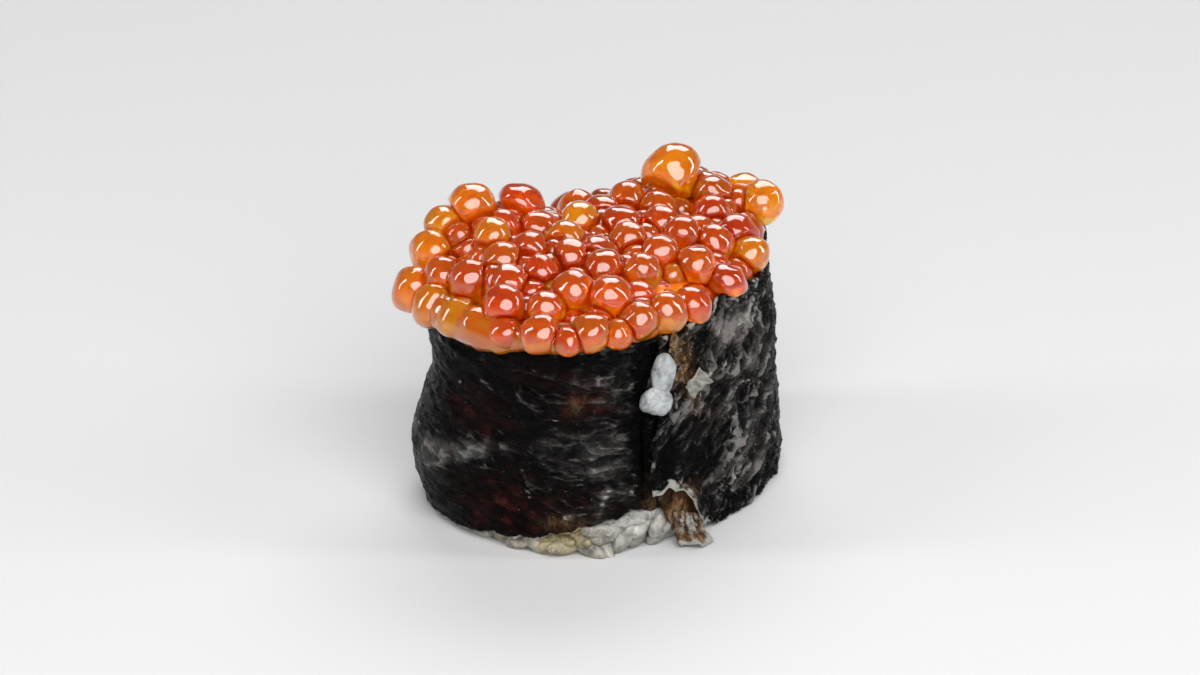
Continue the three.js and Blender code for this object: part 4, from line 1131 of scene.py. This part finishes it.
def build_rice():
    # core: grains pressed to a paste, uneven where it shows at the foot
    n = 640
    th = np.linspace(-180, 180, n, endpoint=False)
    runv = np.where(th > -128, th - 360, th)
    lo = np.maximum(along(LOWER_EDGE, np.where((th <= -82) & (th > -128), th, runv)), 0.9)

    def inside(z):
        return wall_radius(th, z) - SHEET_SHOWN - 0.45
    rings = [polar(th, inside(0.2) - 2.2, np.full(n, 0.12))]
    for f in np.linspace(0.0, 1.0, 12):
        z = 0.25 + (lo - 0.05) * f
        x, y = 26 * np.cos(np.radians(th)), 21 * np.sin(np.radians(th))
        lumps = 1.7 * (fractal(x / 2.0, y / 2.0, z / 1.5, 71, 2) - 0.52) + 1.0 * (ridged(x / 1.1, y / 1.1, z / 0.9, 73, 2) - 0.45)
        r = inside(z) - 0.55 - 0.9 * (1 - f) ** 3 + lumps * math.sin(math.pi * min(f + 0.15, 0.85))
        rings.append(polar(th, r, z))
    for z in (lo + 1.5, lo * 0 + 9, lo * 0 + 14, lo * 0 + 18, lo * 0 + 21.0):
        rings.append(polar(th, inside(z) - 0.2 - 1.1 * smooth((z - lo - 0.8) / 2), z))
    rings.append(polar(th, inside(21.0) - 2.6, np.full(n, 21.7)))
    verts = np.concatenate(rings)
    faces = []
    for i in range(len(rings) - 1):
        for j in range(n):
            a, b = i * n + j, i * n + (j + 1) % n
            faces.append((a, b, b + n, a + n))
    faces.append(tuple(range(n - 1, -1, -1)))
    last = (len(rings) - 1) * n
    faces.append(tuple(range(last, last + n)))
    masks = np.zeros((len(verts), 3))
    turned = np.degrees(np.arctan2(verts[:, 1], verts[:, 0]))
    masks[:, 0] = 0.2 + 0.7 * smooth((-143 - turned) / 12) * smooth((verts[:, 2] - 0.2) / 1.6) + 0.5 * (fractal(verts[:, 0] / 1.7, verts[:, 1] / 1.7, verts[:, 2] / 1.7, 77, 2) - 0.3)
    # painted shade: the paste between the grains gets a darker tone than the grains, so that the gaps between them look
    # shaded
    masks[:, 1] = 0.25
    masks = np.clip(masks, 0, 1)
    core = new_object("rice_block", verts, faces, RICE, masks=masks)
    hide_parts("rice")

    # grains that show: the strip under the lifted edge of the nori, the foot, the underside
    rnd = Random(321)
    vs, fs, ms, count = [], [], [], 0

    def add(centre, axis, normal, length, width, depth, floor=0.03, stain=0.2):
        nonlocal count
        p, f = grain_mesh(length, width, depth, int(rnd() * 1e6))
        q = place_grain(p, centre, axis, normal)
        q[:, 2] = np.where(q[:, 2] < floor, floor + (q[:, 2] - floor) * 0.05, q[:, 2])
        vs.append(q)
        fs.extend([tuple(k + count for k in t) for t in f])
        ms.append(np.tile([min(1.0, max(0.0, stain + 0.35 * (rnd() - 0.5))), rnd(), 0.0], (len(q), 1)))
        count += len(q)

    theta = -180.0
    while theta < 180.0:
        runt = theta if theta <= -128 else theta - 360
        low = float(along(LOWER_EDGE, theta if -128 < theta <= -82 else runt))
        shown = max(low, 0.9)
        layers = 1 if shown < 2.2 else (2 if shown < 3.5 else (3 if shown < 4.8 else 4))
        rr = float(wall_radius(theta, 1.0))
        for k in range(layers):
            th0 = theta + (rnd() - 0.5) * 5
            lifted = 1.1 * smooth1((th0 + 143) / 5) * smooth1((-122 - th0) / 4)
            z = 0.95 + k * 1.25 + (rnd() - 0.5) * 0.5 + lifted
            if layers == 1:
                z = 0.9 + 0.2 * rnd()
            high = z > shown - 1.6
            z = min(z, max(shown - 0.5, 1.1))
            stain = 0.95 * smooth1((-143 - th0) / 12) * smooth1((th0 + 186) / 8) * smooth1((z - 0.2) / 1.6) + 0.12
            inset = 1.15 + 0.7 * rnd() + (0.05 if layers == 1 else 0.0) + (0.25 if z > shown - 0.9 else 0)
            r = float(wall_radius(th0, z)) - inset
            t = math.radians(th0)
            tangent = np.array([-math.sin(t), math.cos(t), 0])
            out = np.array([math.cos(t), math.sin(t), 0.0])
            tilt = (rnd() - 0.5) * (0.5 if layers == 1 or high else 2.2)
            axis = tangent * math.cos(tilt) + np.array([0, 0, 1]) * math.sin(tilt) + out * (rnd() - 0.5) * (0.4 if layers == 1 else 1.7)
            add([r * math.cos(t), r * math.sin(t), z], axis, out + np.array([0, 0, 0.3 * (rnd() - 0.5)]),
                4.3 + 1.1 * rnd(), 1.65 + 0.45 * rnd(), 1.5 + 0.4 * rnd(), stain=stain)
        theta += math.degrees(2.5 / rr)
    # underside: grains pressed flat against the board
    y = -20.0
    row = 0
    while y < 20.5:
        x = -26.0 + (1.7 if row % 2 else 0)
        while x < 26.5:
            px, py = x + (rnd() - 0.5) * 1.2, y + (rnd() - 0.5) * 1.0
            limit = float(wall_radius(math.degrees(math.atan2(py, px)), 0.5)) - 3.6
            if math.hypot(px, py) < limit:
                a = rnd() * math.pi
                add([px, py, 0.95 + 0.12 * rnd()], [math.cos(a), math.sin(a), (rnd() - 0.5) * 0.12], [0, 0, 1],
                    5.4 + 0.7 * rnd(), 2.5 + 0.3 * rnd(), 2.0)
            x += 3.9
        y += 3.1
        row += 1
    new_object("rice_grains", np.concatenate(vs), fs, RICE, masks=np.concatenate(ms))

    # the two grains stuck on the seam
    for name, theta, z, turn, length, width in (
            ("rice_grain_upper", -124.5, 24.5, -8.0, 5.7, 3.1), ("rice_grain_lower", -127.0, 21.1, 66.0, 4.2, 3.6)):
        t = math.radians(theta)
        out = np.array([math.cos(t), math.sin(t), 0])
        tangent = np.array([-math.sin(t), math.cos(t), 0])
        up = np.array([0, 0, 1.0])
        a = math.radians(turn)
        axis = up * math.cos(a) - tangent * math.sin(a)      # a positive turn leans the top to the left
        r = float(wall_radius(theta, z)) + 0.62 + 0.30 + 1.0
        p, f = grain_mesh(length, width, 1.9, 12 if "upper" in name else 13, 26, 21, 0.40, 0.56, -0.06)
        q = place_grain(p, [r * math.cos(t), r * math.sin(t), z], axis, out)
        obj = new_object("stuck_" + name, q, f, RICE_STUCK, masks=np.tile([0.1, 0.75, 0.0], (len(q), 1)))
        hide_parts(name)


build_rice()


# --------------------------------------------------------- floor, light, camera
def build_stage():
    bpy.ops.mesh.primitive_circle_add(vertices=96, radius=0.85, fill_type="NGON", location=(0, 0, 0))
    floor = bpy.context.object
    floor.name = "studio_floor"
    m, nt, bsdf, _ = make_material("studio_floor")
    bsdf.inputs["Base Color"].default_value = (0.56, 0.56, 0.565, 1)
    bsdf.inputs["Roughness"].default_value = 1.0
    bsdf.inputs["Specular IOR Level"].default_value = 0.15
    floor.data.materials.append(m)

    world = bpy.data.worlds.new("studio")
    bpy.context.scene.world = world
    world.use_nodes = True
    nt = world.node_tree
    bg = nt.nodes["Background"]
    split = nt.nodes.new("ShaderNodeSeparateXYZ")
    nt.links.new(nt.nodes.new("ShaderNodeTexCoord").outputs["Generated"], split.inputs["Vector"])
    sky = ramp_node(nt, split.outputs["Z"], [(0.0, (0.56, 0.565, 0.57)), (0.11, (0.52, 0.525, 0.53)), (0.20, (0.20, 0.203, 0.207)),
                                             (0.40, (0.10, 0.102, 0.105)), (1.0, (0.08, 0.082, 0.085))])
    nt.links.new(sky.outputs["Color"], bg.inputs["Color"])
    bg.inputs["Strength"].default_value = 1.0


def add_light(name, azimuth, elevation, distance, size, power, color=(1, 1, 1), target=(0, 0, 0.02), shape="RECTANGLE"):
    """Azimuth and elevation: where the light stands, seen from the object; azimuth 0 lies towards -Y, 90 towards +X."""
    a, e = math.radians(azimuth), math.radians(elevation)
    pos = Vector(target) + Vector((math.sin(a) * math.cos(e), -math.cos(a) * math.cos(e), math.sin(e))) * distance
    data = bpy.data.lights.new(name, "AREA")
    data.shape = shape
    data.size, data.size_y = size
    data.energy = power
    data.color = color
    obj = bpy.data.objects.new(name, data)
    obj.location = pos
    obj.rotation_mode = "QUATERNION"
    obj.rotation_quaternion = (Vector(target) - pos).to_track_quat("-Z", "Y")
    obj.visible_camera = False
    bpy.context.scene.collection.objects.link(obj)
    return obj


CAMERA_AT = (-403.9, -290.6, 227.4)     # mm, design frame
LOOK_AT = (0.0, 0.0, 20.3)
LENS = 122.0


def build_camera():
    data = bpy.data.cameras.new("camera")
    data.sensor_width = 36.0
    data.lens = LENS
    data.clip_start, data.clip_end = 0.01, 20.0
    data.dof.use_dof = False
    cam = bpy.data.objects.new("camera", data)
    pos, aim = Vector(to_scene(CAMERA_AT)), Vector(to_scene(LOOK_AT))
    cam.location = pos
    cam.rotation_mode = "QUATERNION"
    cam.rotation_quaternion = (aim - pos).to_track_quat("-Z", "Y")
    bpy.context.scene.collection.objects.link(cam)
    bpy.context.scene.camera = cam


build_stage()
VIEW_AZIMUTH = -54.0
add_light("key_softbox", VIEW_AZIMUTH + 8, 36, 0.66, (0.76, 0.68), 7.0, (1.0, 0.99, 0.98), shape="ELLIPSE")
add_light("left_strip", VIEW_AZIMUTH - 84, 30, 0.70, (0.10, 0.60), 1.6)
add_light("right_strip", VIEW_AZIMUTH + 84, 30, 0.70, (0.10, 0.60), 1.6)
add_light("rear_softbox", VIEW_AZIMUTH + 172, 46, 1.05, (0.80, 0.6), 7.5)
build_camera()
view = bpy.context.scene.view_settings
view.view_transform = "Standard"
view.look = "None"
view.exposure = 0.0
